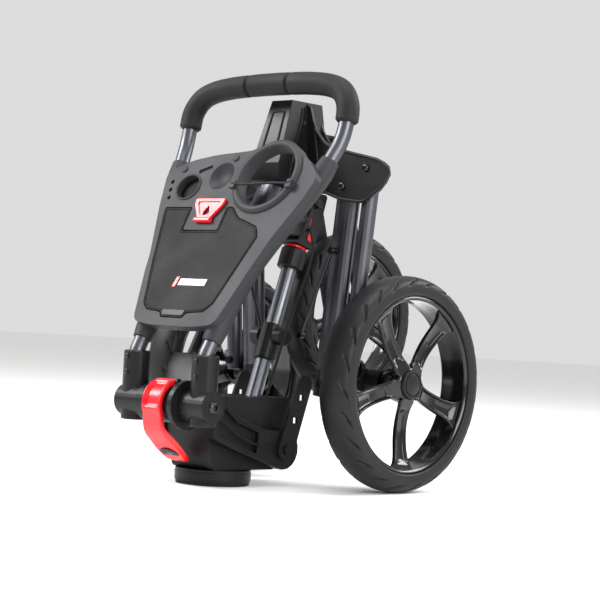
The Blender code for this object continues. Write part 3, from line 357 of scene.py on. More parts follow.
def mesh_object(name, bm, finish, place=STILL):
    """Object from a bmesh, with its faces out and its round faces smooth."""
    bmesh.ops.recalc_face_normals(bm, faces=bm.faces)
    mesh = bpy.data.meshes.new(name)
    bm.to_mesh(mesh)
    bm.free()
    mesh.shade_smooth()
    mesh.set_sharp_from_angle(angle=SHARP)
    mesh.materials.append(finish)
    made = bpy.data.objects.new(name, mesh)
    bpy.context.scene.collection.objects.link(made)
    made.matrix_world = place
    return made


def carve(target, steps):
    """Apply a chain of exact Booleans, each (operation, bmesh) in the target's own axes."""
    tools = []
    for operation, bm in steps:
        tool = mesh_object("carving_tool", bm, target.data.materials[0], target.matrix_world)
        step = target.modifiers.new(operation, "BOOLEAN")
        step.operation = operation
        step.solver = "EXACT"
        step.object = tool
        tools.append(tool)
    bpy.context.view_layer.update()
    seen = target.evaluated_get(bpy.context.evaluated_depsgraph_get())
    shaped = bpy.data.meshes.new_from_object(seen)
    target.modifiers.clear()
    target.data = shaped
    for tool in tools:
        bpy.data.objects.remove(tool)
    if not len(shaped.polygons):
        raise RuntimeError(target.name + " came out empty")
    shaped.shade_smooth()
    shaped.set_sharp_from_angle(angle=SHARP)
    return target


def settle(piece, body, slot, *stands_for):
    """Put a finished piece on its body and hide the CAD nodes that it stands for."""
    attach(piece, body)
    if stands_for:
        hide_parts(*stands_for)
    return piece


def fit(name, bm, finish, place, body, slot, *stands_for):
    """Make a piece of a finish at a place and settle it on its body."""
    return settle(mesh_object(name, bm, MADE[finish], place), body, slot, *stands_for)


# ---------------------------------------------------------------- wheels
REAR_R, REAR_HALF = 0.1154, 0.020
FRONT_R, FRONT_HALF = 0.0965, 0.016
TYRE_DEPTH = 0.0215
TYRE_FACETS = 468
SIPE_START, SIPE_END = 0.36, 0.17  # ends of a sipe, as shares of the section's length from the seat
SIPE_SWEEP = 0.80                  # how far a sipe leans over its length, as a share of the pitch
SEAM = 0.115                       # where the thin moulded line runs round the sidewall, as such a share
BARREL_WALL = 0.0035
HUB_R = 0.019
CAP_LIP = 0.0003                   # how far the cap stands off the hub's face
SPOKE_COUNT = 5
SPOKE_PHASE = 51.0
SPOKE_STATIONS = 34
SPOKE_THICK = 0.0055


def tyre_mesh(radius, half, sizes):
    """Round-shouldered tyre with curved sipes cut into both shoulders."""
    seat = radius - TYRE_DEPTH + 0.0003
    shoulder = [(half * 0.80, seat), (half * 0.95, seat + 0.0012), (half, seat + 0.005),
                (half * 0.995, radius * 0.900), (half * 0.955, radius * 0.934), (half * 0.83, radius * 0.962),
                (half * 0.60, radius * 0.984), (half * 0.30, radius * 0.9965), (0.0, radius)]
    side = [tuple(p) for p in curve_through(shoulder, 4)]
    profile = side + [(-x, r) for x, r in reversed(side[:-1])]
    walk = travelled(profile)
    whole = walk[-1]
    start, end = SIPE_START * whole, SIPE_END * whole
    pitch = 2 * math.pi / sizes.sipes
    rows = []
    for (x, r), run in zip(profile, walk):
        near = min(run, whole - run)
        share = (start - near) / (start - end)
        taper = ease(share / 0.25) * ease((1 - share) / 0.25) if 0 < share < 1 else 0.0
        sweep = SIPE_SWEEP * pitch * max(0.0, share) ** 1.9
        line = 0.0005 * math.exp(-((near - SEAM * whole) / 0.0006) ** 2)
        inward = Vector((-x, -(r - radius + half * 0.9))).normalized()
        row = []
        for i in range(TYRE_FACETS):
            angle = 2 * math.pi * i / TYRE_FACETS
            place = (angle - sweep) % pitch
            away = min(place, pitch - place) * r
            deep = line + (sizes.sipe_depth * taper * ease(1.3 - away / sizes.sipe_width) if taper else 0.0)
            xx, rr = x + inward.x * deep, r + inward.y * deep
            row.append(Vector((xx, rr * math.cos(angle), rr * math.sin(angle))))
        rows.append(row)
    return loft(rows, ring=True)


def barrel_mesh(radius, half):
    """Rim barrel with a rolled lip on each side and a shallow well inside."""
    seat = radius - TYRE_DEPTH
    inner = seat - BARREL_WALL
    lip = half * 0.86
    profile = [(lip, inner + 0.0008), (lip + 0.0006, inner + 0.0020), (lip, seat), (-lip, seat),
               (-lip - 0.0006, inner + 0.0020), (-lip, inner + 0.0008), (-lip + 0.002, inner - 0.0006),
               (-lip + 0.005, inner - 0.0004), (-0.003, inner - 0.0012), (0.006, inner - 0.0012),
               (lip - 0.005, inner - 0.0004), (lip - 0.002, inner - 0.0006)]
    return lathe(profile, 120, ring=True)


def spoke_mesh(radius, depth):
    """One dished spoke with raised edges round a long recess, flared at the hub and the rim."""
    tip = radius - TYRE_DEPTH - BARREL_WALL + 0.0008
    root = HUB_R - 0.004
    rows = []
    for k in range(SPOKE_STATIONS):
        r = root + (tip - root) * k / (SPOKE_STATIONS - 1)
        share = (r - root) / (tip - root)
        hub_flare = 0.0030 * math.exp(-(r - HUB_R) / 0.006)
        rim_flare = 0.0105 * math.exp(-(tip - r) / 0.0060)
        w = min(0.0078 + 0.0026 * share + hub_flare + rim_flare, r * 0.60)
        middle = 0.0105 - 0.0065 * math.sin(math.pi * min(1.0, share * 1.05) ** 0.9)
        sink = depth * (ease((r - root - 0.010) / 0.006) * ease((tip - 0.006 - r) / 0.006))
        top = middle + SPOKE_THICK / 2
        low = middle - SPOKE_THICK / 2
        inner_w = w * 0.62
        half_row = [(w, low + 0.001), (w, top - 0.0016), (w - 0.0007, top - 0.0004), (w * 0.86, top),
                    (w * 0.74, top - 0.0002), (inner_w, top - sink * 0.8), (inner_w * 0.85, top - sink)]
        ring = half_row + [(-t, x) for t, x in reversed(half_row)]
        ring += [(-w + 0.001, low), (w - 0.001, low)]
        rows.append([Vector((x, r, t)) for t, x in ring])
    return loft(rows)


def hub_face(half):
    """How far the hub's outer face is from the middle of the wheel."""
    return half * 0.80 - 0.003


def hub_mesh(half, bore):
    """Stepped hub with a bore right through."""
    face = hub_face(half)
    outer = [(face, bore), (face, HUB_R - 0.0032), (face - 0.0008, HUB_R - 0.0016), (face - 0.0036, HUB_R),
             (0.0, HUB_R + 0.0012)]
    inner = [(-face - 0.002, HUB_R - 0.003), (-face - 0.003, HUB_R - 0.005), (-face - 0.003, bore)]
    return lathe(outer + inner, 72, ring=True)


def build_wheel(label, body, centre, radius, half, sign, sizes):
    """Tyre and wheel of one axle end."""
    place = Matrix.Translation(centre)
    flip = flipped(sign)
    fit(label + "_tread", tyre_mesh(radius, half, sizes), "tyre", place, body, "tyre", label + "_tyre")
    fit(label + "_barrel", barrel_mesh(radius, half), "rim", place, body, "gloss_black", label + "_rim")
    capped = label.startswith("rear")
    hub_bm = moved(hub_mesh(half, 0.0063 if capped else 0.0053), flip)
    fit(label + "_hub", hub_bm, "rim", place, body, "gloss_black")
    for k in range(SPOKE_COUNT):
        angle = math.radians(SPOKE_PHASE + 360 / SPOKE_COUNT * k)
        bm = moved(spoke_mesh(radius, sizes.spoke_groove), Matrix.Rotation(angle, 4, "X") @ flip)
        fit(f"{label}_spoke_{k + 1}", bm, "rim", place, body, "gloss_black")
    if capped:
        base = hub_face(half) + CAP_LIP
        profile = [(base, 0), (base, 0.0160), (base + 0.0026, 0.0156), (base + 0.0034, 0.0148),
                   (base + 0.0034, 0.0130), (base + 0.0024, 0.0126), (base + 0.0024, 0.0116),
                   (base + 0.0036, 0.0112), (base + 0.0046, 0.0070), (base + 0.0048, 0)]
        bm = moved(lathe(profile, 64), flip)
        fit(label + "_hub_cap", bm, "nylon", place, body, "black_plastic", label + "_cap")


class TROLLEY_OT_wheels(bpy.types.Operator):
    """Tyres with sipes, dished five-spoke wheels and hub caps"""
    bl_idname = "trolley.wheels"
    bl_label = "Make Wheels"

    def execute(self, context):
        sizes = context.scene.trolley_sizes
        for side, sign in SIDES:
            build_wheel("rear_wheel_" + side, "wheel_" + side, PLACES[f"wheel_{side}_spin"],
                        REAR_R, REAR_HALF, sign, sizes)
        build_wheel("front_wheel", "front_wheel", PLACES["front_wheel_spin"],
                    FRONT_R, FRONT_HALF, 1, sizes)
        return {"FINISHED"}


# ---------------------------------------------------------------- handle and grips
TUBE_R = 0.0082
GRIP_R = 0.0122
SLEEVE_GAP = 0.0006                # room between the tube and what goes round it
BEND_STEPS = 6                     # points on the curve for each bend point of the tube
GRIP_START, GRIP_SEAM = 9, 14      # bend points where the foam starts and where its middle piece starts
GRIP_STEP = 0.0012
# half of the handle tube: (x, u, distance ahead of the handle plane), from its foot to the arch's middle
TUBE_HALF = [(0.0518, 0.015, 0.0), (0.0530, 0.045, 0.0), (0.0615, 0.100, 0.0), (0.0830, 0.155, 0.0),
             (0.1035, 0.203, 0.0), (0.1112, 0.232, 0.0), (0.1155, 0.2545, 0.0005), (0.1169, 0.2755, 0.0048),
             (0.1150, 0.2940, 0.0110), (0.1040, 0.3085, 0.0155), (0.0850, 0.3155, 0.0180),
             (0.0580, 0.3185, 0.0195), (0.0300, 0.3195, 0.0200), (0.0, 0.3200, 0.0200)]


def handle_points():
    """Bend points of the whole tube, right socket to left socket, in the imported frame."""
    half = [HINGE + Vector((0.0515, -0.0030, 0.0225)), HINGE + Vector((0.0515, -0.0025, 0.046))]
    half += [CONSOLE @ Vector((x, -ahead, u)) for x, u, ahead in TUBE_HALF]
    return half + [Vector((-p.x, p.y, p.z)) for p in reversed(half[:-1])]


def grip_mesh(path):
    """Foam sleeve with rolled ends."""
    walk = travelled(path)
    ends = [min(run, walk[-1] - run) for run in walk]
    radii = [GRIP_R - 0.0022 * (1 - ease(end / 0.0030)) ** 2 for end in ends]
    return swept(path, radii, 40, TUBE_R + SLEEVE_GAP)


def resample(path, step):
    """Points at even steps along a path, both ends kept."""
    walk = travelled(path)
    count = max(2, round(walk[-1] / step))
    found, i = [], 0
    for k in range(count + 1):
        run = walk[-1] * k / count
        while i < len(path) - 2 and walk[i + 1] < run:
            i += 1
        share = (run - walk[i]) / (walk[i + 1] - walk[i])
        found.append(path[i].lerp(path[i + 1], min(1.0, share)))
    return found


class TROLLEY_OT_handle(bpy.types.Operator):
    """Bent handle tube with its three foam grips"""
    bl_idname = "trolley.handle"
    bl_label = "Make Handle"

    def execute(self, context):
        path = curve_through(handle_points(), BEND_STEPS)
        fit("handle_bar", bar(path, TUBE_R, 32), "tube", STILL, "handle", "tube", "handle_tube")
        start, seam = GRIP_START * BEND_STEPS, GRIP_SEAM * BEND_STEPS
        right, left = both_sides(path, start, seam + 1)
        for name, stretch in (("right", right), ("centre", path[seam:len(path) - seam]), ("left", left)):
            fine = resample(stretch, GRIP_STEP)
            fine[0] = fine[0].lerp(fine[1], 0.3)
            fine[-1] = fine[-1].lerp(fine[-2], 0.3)
            grip = mesh_object("grip_foam_" + name, grip_mesh(fine), MADE["foam"])
            settle(grip, "handle", "foam", "grip_" + name)
        return {"FINISHED"}


# ---------------------------------------------------------------- console
FACE = -0.015                      # front face of the console's plate, along its own Y
PLATE = 0.009
BACK = FACE + PLATE
TRAY_BACK = 0.008
OVERCUT = 0.01                     # how far a cutter reaches past the faces that it cuts
CUP = (0.048, 0.2045)
CUP_R = 0.036
CUP_SEAT = 0.003                   # the cup ring is set in a hole this much wider than the cup
DISH = (-0.021, 0.2065)            # ball dish
DISH_R, DISH_DEEP = 0.0168, 0.0080
HOLDER = (-0.065, 0.193)           # oval holder
LID = 0.003
LID_U = 0.165
LID_GAP = 0.0012
CLASP_STEPS = 4                    # points on the tube's curve for each bend point, as the console counts them
CLASP = (8, 29)                    # first point and end of the stretch that the console wraps round
CHANNEL = (4, 37)                  # the same of the longer stretch that is cut out for the tube
CONSOLE_OUTLINE = [(-0.109, 0.214), (-0.099, 0.172), (-0.079, 0.108), (-0.076, 0.090), (-0.060, 0.028),
                   (-0.030, 0.024), (0.030, 0.024), (0.060, 0.028), (0.078, 0.092), (0.090, 0.130),
                   (0.112, 0.178), (0.119, 0.205), (0.096, 0.226), (0.074, 0.236), (0.048, 0.241),
                   (0.022, 0.240), (0.000, 0.237), (-0.040, 0.234), (-0.074, 0.228)]
LID_OUTLINE = [(-0.086, LID_U + LID / 2), (-0.046, LID_U + LID / 2), (-0.046, 0.138),
               (0.008, 0.138), (0.008, LID_U + LID / 2), (0.016, LID_U + LID / 2),
               (0.030, 0.154), (0.062, 0.143), (0.069, 0.131), (0.047, 0.052), (0.038, 0.043),
               (0.014, 0.041), (0.011, 0.035), (-0.021, 0.035), (-0.024, 0.041), (-0.046, 0.043),
               (-0.055, 0.050), (-0.070, 0.102)]


def lying(bm, x, z):
    """Lay a piece made along X on the console's Y axis at (x, z)."""
    return moved(bm, turned(x, 0, z, "Z", 90))


class TROLLEY_OT_console(bpy.types.Operator):
    """Moulded console with its cup ring, ball dish, oval holder, tee holes and lid recess"""
    bl_idname = "trolley.console"
    bl_label = "Make Console"

    def execute(self, context):
        tray = mesh_object("console_moulding", slab(rounded(CONSOLE_OUTLINE, 0.010), FACE, BACK),
                           MADE["console"], CONSOLE)
        outer = CUP_R + context.scene.trolley_sizes.cup_wall
        pan = rounded([(-0.072, 0.128), (-0.052, 0.052), (0.044, 0.052), (0.064, 0.128)], 0.006)
        ring = [(FACE - 0.0020, CUP_R + 0.0006), (FACE - 0.0036, CUP_R + 0.0018),
                (FACE - 0.0042, CUP_R + 0.0040), (FACE - 0.0036, outer - 0.0022), (FACE - 0.0014, outer),
                (BACK + 0.002, outer), (BACK + 0.002, CUP_R)]
        hole = [(FACE - OVERCUT, 0), (FACE - OVERCUT, CUP_R + CUP_SEAT), (BACK + OVERCUT, CUP_R + CUP_SEAT),
                (BACK + OVERCUT, 0)]
        inverse = CONSOLE.inverted()
        path = [inverse @ p for p in curve_through(handle_points(), CLASP_STEPS)]
        steps = [("UNION", slab(pan, FACE + 0.004, TRAY_BACK)),
                 ("DIFFERENCE", lying(lathe(hole, 96), *CUP)),
                 ("UNION", lying(lathe(ring, 96, ring=True), *CUP))]
        for run in both_sides(path, *CLASP):
            radii = [0.0115 - 0.0015 * (1 - ease(min(i, len(run) - 1 - i) / 2)) for i in range(len(run))]
            steps.append(("UNION", swept(run, radii, 28)))
        for run in both_sides(path, *CHANNEL):
            steps.append(("DIFFERENCE", bar(run, TUBE_R + SLEEVE_GAP, 28)))
        recess = rounded(grown(LID_OUTLINE, LID_GAP), 0.003)
        well = rounded([(-0.064, 0.122), (-0.047, 0.058), (0.039, 0.058), (0.056, 0.122)], 0.004)
        ball = (DISH_R ** 2 + DISH_DEEP ** 2) / (2 * DISH_DEEP)
        arc = [(FACE + DISH_DEEP - ball - ball * math.cos(math.pi * k / 24),
                ball * math.sin(math.pi * k / 24)) for k in range(25)]
        cuts = [slab(recess, FACE - OVERCUT, FACE + LID + LID_GAP),
                slab(well, FACE - OVERCUT, TRAY_BACK - 0.003),
                lying(lathe(arc, 48), *DISH),
                slab(oval(HOLDER, 0.0160, 0.0145), FACE - OVERCUT, FACE + 0.0080)]
        for tee_hole in ((-0.094, 0.200), (-0.092, 0.190), (-0.089, 0.180)):
            cuts.append(slab(oval(tee_hole, 0.0025, 0.0025, 20), FACE - OVERCUT, BACK + OVERCUT))
        notch = rounded([(-0.060, 0.214), (-0.042, 0.221), (-0.040, 0.2165), (-0.058, 0.2095)], 0.002, 3)
        cuts.append(slab(notch, FACE - OVERCUT, FACE + 0.0022))
        carve(tray, steps + [("DIFFERENCE", cut) for cut in cuts])
        settle(tray, "handle", "console_plastic", "console_tray")

        lip = [(FACE - 0.0012, 0.0158), (FACE - 0.0016, 0.0166), (FACE - 0.0012, 0.0178),
               (FACE + 0.001, 0.0182), (FACE + 0.001, 0.0156)]
        bm = moved(lying(lathe(lip, 56, ring=True), 0, 0), Matrix.Diagonal((1, 1, 0.91, 1)))
        fit("holder_rim", bm, "console", CONSOLE @ Matrix.Translation((HOLDER[0], 0, HOLDER[1])), "handle",
            "console_plastic")
        bm = slab(oval(HOLDER, 0.0152, 0.0137), FACE + 0.0070, FACE + 0.0078)
        fit("holder_liner", bm, "panel", CONSOLE, "handle", "console_plastic")
        button = [(FACE + 0.001, 0), (FACE + 0.001, 0.0042), (FACE - 0.0010, 0.0040),
                  (FACE - 0.0018, 0.0028), (FACE - 0.0014, 0.0016), (FACE - 0.0014, 0)]
        for i, (x, z) in enumerate(((-0.010, 0.2285), (-0.083, 0.216), (0.010, 0.2215))):
            fit(f"console_stud_{i + 1}", lying(lathe(button, 28), x, z), "console", CONSOLE, "handle",
                "console_plastic")

        # elastic cord across the cup, knotted into a hook on each side
        wave = [(-0.0425, 0.0015), (-0.036, 0.0), (-0.018, -0.0006), (0.0, 0.0), (0.018, 0.0006),
                (0.036, 0.0), (0.0425, 0.0015)]
        line = curve_through([Vector((CUP[0] + x, FACE - 0.0062, CUP[1] - 0.012 + z)) for x, z in wave], 6)
        fit("cup_elastic", bar(line, 0.0014, 14), "rubber", CONSOLE, "handle", "rubber", "cup_cord")
        for i, x in enumerate((-0.0405, 0.0405)):
            outline = [(CUP[0] + x - 0.004, CUP[1] - 0.0170), (CUP[0] + x + 0.004, CUP[1] - 0.0170),
                       (CUP[0] + x + 0.003, CUP[1] - 0.0070), (CUP[0] + x - 0.003, CUP[1] - 0.0070)]
            hook = slab(rounded(outline, 0.0015, 3), FACE - 0.0070, FACE - 0.0030)
            fit(f"cord_hook_{i + 1}", hook, "console", CONSOLE, "handle", "console_plastic")
        return {"FINISHED"}


class TROLLEY_OT_lid(bpy.types.Operator):
    """Embossed scorecard lid with a plain badge, and the red clip that holds it"""
    bl_idname = "trolley.lid"
    bl_label = "Make Lid and Clip"

    def execute(self, context):
        fit("lid_panel", slab(rounded(LID_OUTLINE, 0.003), FACE, FACE + LID), "panel", CONSOLE, "lid",
            "panel_plastic", "scorecard_lid")
        edge = rounded(grown(LID_OUTLINE, -0.0016), 0.003)
        bead = [Vector((x, FACE - 0.0001, z)) for x, z in edge]
        fit("lid_bead", bar(bead, 0.0005, 8, ring=True), "panel", CONSOLE, "lid", "panel_plastic")
        tab = rounded([(-0.020, 0.0365), (0.010, 0.0365), (0.012, 0.043), (-0.022, 0.043)], 0.0015, 3)
        fit("lid_tab", slab(tab, FACE - 0.0008, FACE + 0.001), "nylon", CONSOLE, "lid", "panel_plastic")
        badge = rounded([(-0.016, 0.0720), (0.024, 0.0720), (0.0255, 0.0800), (-0.0145, 0.0800)], 0.0012, 3)
        fit("lid_badge", slab(badge, FACE - 0.0004, FACE + 0.001), "mast", CONSOLE, "lid", "bright_tube")
        stripe = rounded([(-0.0235, 0.0700), (-0.0190, 0.0700), (-0.0170, 0.0820), (-0.0215, 0.0820)],
                         0.0008, 3)
        fit("lid_badge_stripe", slab(stripe, FACE - 0.0004, FACE + 0.001), "red", CONSOLE, "lid",
            "red_plastic")

        outline = [(-0.0400, 0.1760), (0.0040, 0.1760), (0.0025, 0.168), (-0.0080, 0.1525),
                   (-0.0060, 0.1525), (-0.0060, 0.1475), (-0.0300, 0.1475), (-0.0300, 0.1525),
                   (-0.0270, 0.1525), (-0.0385, 0.168)]
        near = FACE - 0.0038
        clip = mesh_object("clip_body", slab(rounded(outline, 0.0022), near, FACE - 0.0008),
                           MADE["red"], CONSOLE)
        drop = curve_through([(-0.0180, 0.1685), (-0.0215, 0.1625), (-0.0225, 0.1585), (-0.0180, 0.1550),
                              (-0.0135, 0.1585), (-0.0145, 0.1625), (-0.0180, 0.1685)], 5)[:-1]
        pocket = rounded([(-0.0355, 0.1725), (-0.0005, 0.1725), (-0.0105, 0.1560), (-0.0255, 0.1560)], 0.003)
        carve(clip, [("DIFFERENCE", slab(pocket, near - 0.001, near + 0.0012)),
                     ("DIFFERENCE", slab([tuple(p) for p in drop], near - 0.002, FACE + 0.002))])
        settle(clip, "clip", "red_plastic", "scorecard_clip")
        hook = rounded([(near - 0.0016, 0.1478), (near + 0.0004, 0.1478), (near + 0.0004, 0.1522),
                        (near - 0.0016, 0.1522)], 0.0008, 3)
        fit("clip_hook", slab(hook, -0.0295, -0.0065, "X"), "red", CONSOLE, "clip", "red_plastic")
        return {"FINISHED"}


# ---------------------------------------------------------------- red lever and hinge
DRUM_R = 0.019
LEVER_GAP = 0.0015
LEVER_THICK = 0.0055
# button head of a screw: (rise from its seat, radius), both in head radii
BUTTON_HEAD = ((0.0, 1.0), (0.25, 0.96), (0.48, 0.72), (0.52, 0.45), (0.20, 0.42), (0.18, 0.0))
# small screws as lathe profiles: (x, radius)
SOCKET_SCREW = [(-0.002, 0), (-0.002, 0.0026), (0.0010, 0.0026), (0.0016, 0.0018), (0.0008, 0.0012),
                (0.0008, 0)]
HOUSING_SCREW = [(-0.002, 0), (-0.002, 0.0034), (0.0012, 0.0034), (0.0018, 0.0026), (0.0009, 0.0016),
                 (0.0009, 0)]


def lever_section(half, sink):
    """Half of the lever's section: (x, height in half thicknesses), raised at the edge and sunk inside."""
    return [(half, -1.0), (half, 0.55), (half - 0.0009, 1.0), (half - 0.0019, 1.0),
            (half - 0.0028, 1.0 - sink), (half * 0.4, 1.0 - sink)]


class TROLLEY_OT_lever(bpy.types.Operator):
    """Red cam lever with raised edges, a sunk grip and a plain oval inlay on its paddle"""
    bl_idname = "trolley.lever"
    bl_label = "Make Hinge Lever"

    def execute(self, context):
        middle = DRUM_R + LEVER_GAP + LEVER_THICK / 2
        wrap = [(-middle * math.sin(math.radians(a)), middle * math.cos(math.radians(a)))
                for a in (-3, 12, 27, 42, 57, 72, 87, 102, 117)]
        sweep = [(-0.0195, -0.0215), (-0.0150, -0.0292), (-0.0055, -0.0372), (0.0055, -0.0468),
                 (0.0175, -0.0555), (0.0290, -0.0580)]
        path = curve_through([Vector(p) for p in wrap + sweep], 5)
        last = len(path) - 1
        rows = []
        for i, place in enumerate(path):
            heading = (path[min(i + 1, last)] - path[max(i - 1, 0)]).normalized()
            normal = Vector((heading.y, -heading.x)) * (LEVER_THICK / 2)
            share = i / last
            half = 0.013 + 0.004 * ease((share - 0.60) / 0.25)
            tip = (last - i) / 12
            if tip < 1:
                half *= math.sqrt(max(0.05, 1 - (1 - tip) ** 2))
            sink = 1.35 * ease((share - 0.10) / 0.05) * ease((0.50 - share) / 0.06)
            right = lever_section(half, sink)
            ring = right + [(-x, n) for x, n in reversed(right)]
            rows.append([Vector((x, place.x + normal.x * n, place.y + normal.y * n)) for x, n in ring])
        fit("lever_body", loft(rows), "red", Matrix.Translation(HINGE), "lever", "red_plastic", "cam_lever")
        spot, ahead = path[last - 9], path[last - 4]
        heading = (ahead - spot).normalized()
        normal = Vector((heading.y, -heading.x))
        for name, long, wide, low, high, finish, slot in (
                ("lever_inlay", 0.0085, 0.0125, 0.0020, 0.00310, "nylon", "black_plastic"),
                ("lever_inlay_dot", 0.0022, 0.0050, 0.0028, 0.00335, "mast", "bright_tube")):
            rows = []
            for depth in (low, high):
                base = spot + normal * depth
                rows.append([Vector((wide * math.cos(a), base.x + heading.x * long * math.sin(a),
                                     base.y + heading.y * long * math.sin(a)))
                             for a in (2 * math.pi * k / 36 for k in range(36))])
            fit(name, loft(rows), finish, Matrix.Translation(HINGE), "lever", slot)
        return {"FINISHED"}


def screw_mesh(head, low, high, shank):
    """Screw along X with a button head at each end and a round socket sunk in each head."""
    far, near = ([(seat, shank)] + [(seat + sense * head * rise, head * share) for rise, share in BUTTON_HEAD]
                 for seat, sense in ((low, -1), (high, 1)))
    return lathe(far[::-1] + near, 36)


class TROLLEY_OT_screws(bpy.types.Operator):
    """Dark button-head screws in place of the plain bolts, and the small screws of the sockets"""
    bl_idname = "trolley.screws"
    bl_label = "Make Screws"

    def execute(self, context):
        head = context.scene.trolley_sizes.screw_head
        for side, sign in SIDES:
            for kind in ("leg", "link"):
                at = PLACES[f"{kind}_{side}_swing"]
                bm = screw_mesh(head, -0.0141, 0.0138, 0.0038)
                name = f"{kind}_pivot_screw_{side}"
                fit(name, bm, "screw", turned(at.x, at.y, at.z, "Z", 90), "frame", "steel",
                    f"{kind}_pivot_bolt_{side}")
            for i, height in enumerate((0.030, 0.046)):
                at = HINGE + Vector((sign * 0.0515, -0.0140, height))
                fit(f"socket_screw_{side}_{i + 1}", lathe(SOCKET_SCREW, 24), "screw",
                    turned(at.x, at.y, at.z, "Z", -90), "handle", "steel")
        for name, joint, size, reach, shank, body, stands_for in (
                ("hinge_screw", "handle_fold", 0.0066, 0.0661, 0.0048, "handle", "hinge_bolt"),
                ("fork_pivot_screw", "front_fork_fold", 0.0058, 0.0268, 0.0038, "frame", "fork_pivot_bolt"),
                ("front_axle_screw", "front_wheel_spin", 0.0072, 0.0268, 0.0048, "fork", "front_axle")):
            fit(name, screw_mesh(size, -reach, reach, shank), "screw", Matrix.Translation(PLACES[joint]),
                body, "steel", stands_for)
        return {"FINISHED"}


# ---------------------------------------------------------------- trim on the frame
# half outline of the wing plates: (x, z)
WING_HALF = [(0.026, 0.392), (0.030, 0.386), (0.048, 0.368), (0.076, 0.3615), (0.124, 0.3515),
             (0.141, 0.340), (0.131, 0.321), (0.104, 0.304), (0.070, 0.308), (0.040, 0.318)]
CHEEK_FACE = 0.0313 + 0.012        # outer face of a side cheek
# middle lines of a cheek's ribs: (y of the CAD source, z)
CHEEK_RIBS = ([(-0.048, 0.058), (-0.072, 0.0600), (-0.106, 0.0712), (-0.131, 0.0893), (-0.142, 0.101)],
              [(-0.050, 0.0430), (-0.076, 0.0435), (-0.108, 0.0545), (-0.131, 0.0700), (-0.142, 0.0780)],
              [(-0.056, 0.0240), (-0.079, 0.0302), (-0.110, 0.0395), (-0.133, 0.0480)])
SOCKET_BOSS = [(-0.002, 0), (-0.002, 0.0115), (0.0006, 0.0112), (0.0010, 0.0100), (0.0002, 0.0092),
               (0.0002, 0.0068), (0.0012, 0.0062), (0.0012, 0)]
SOCKET_FACE = 0.0658               # outer face of a hinge socket
# front panel of the top housing: (y, z) of its lower and upper edge
PANEL_LOW, PANEL_HIGH = (-0.046, 0.345), (-0.025, 0.415)
# side of the top housing: half width at its foot, how much that narrows, z of its foot, and its height
HOUSING_HALF, HOUSING_TAPER, HOUSING_FOOT, HOUSING_RISE = 0.022, 0.007, 0.318, 0.097
HOUSING_RIB = [(0.0212, -0.030, 0.330), (0.0190, -0.022, 0.362), (0.0170, -0.012, 0.388),
               (0.0155, -0.008, 0.408)]


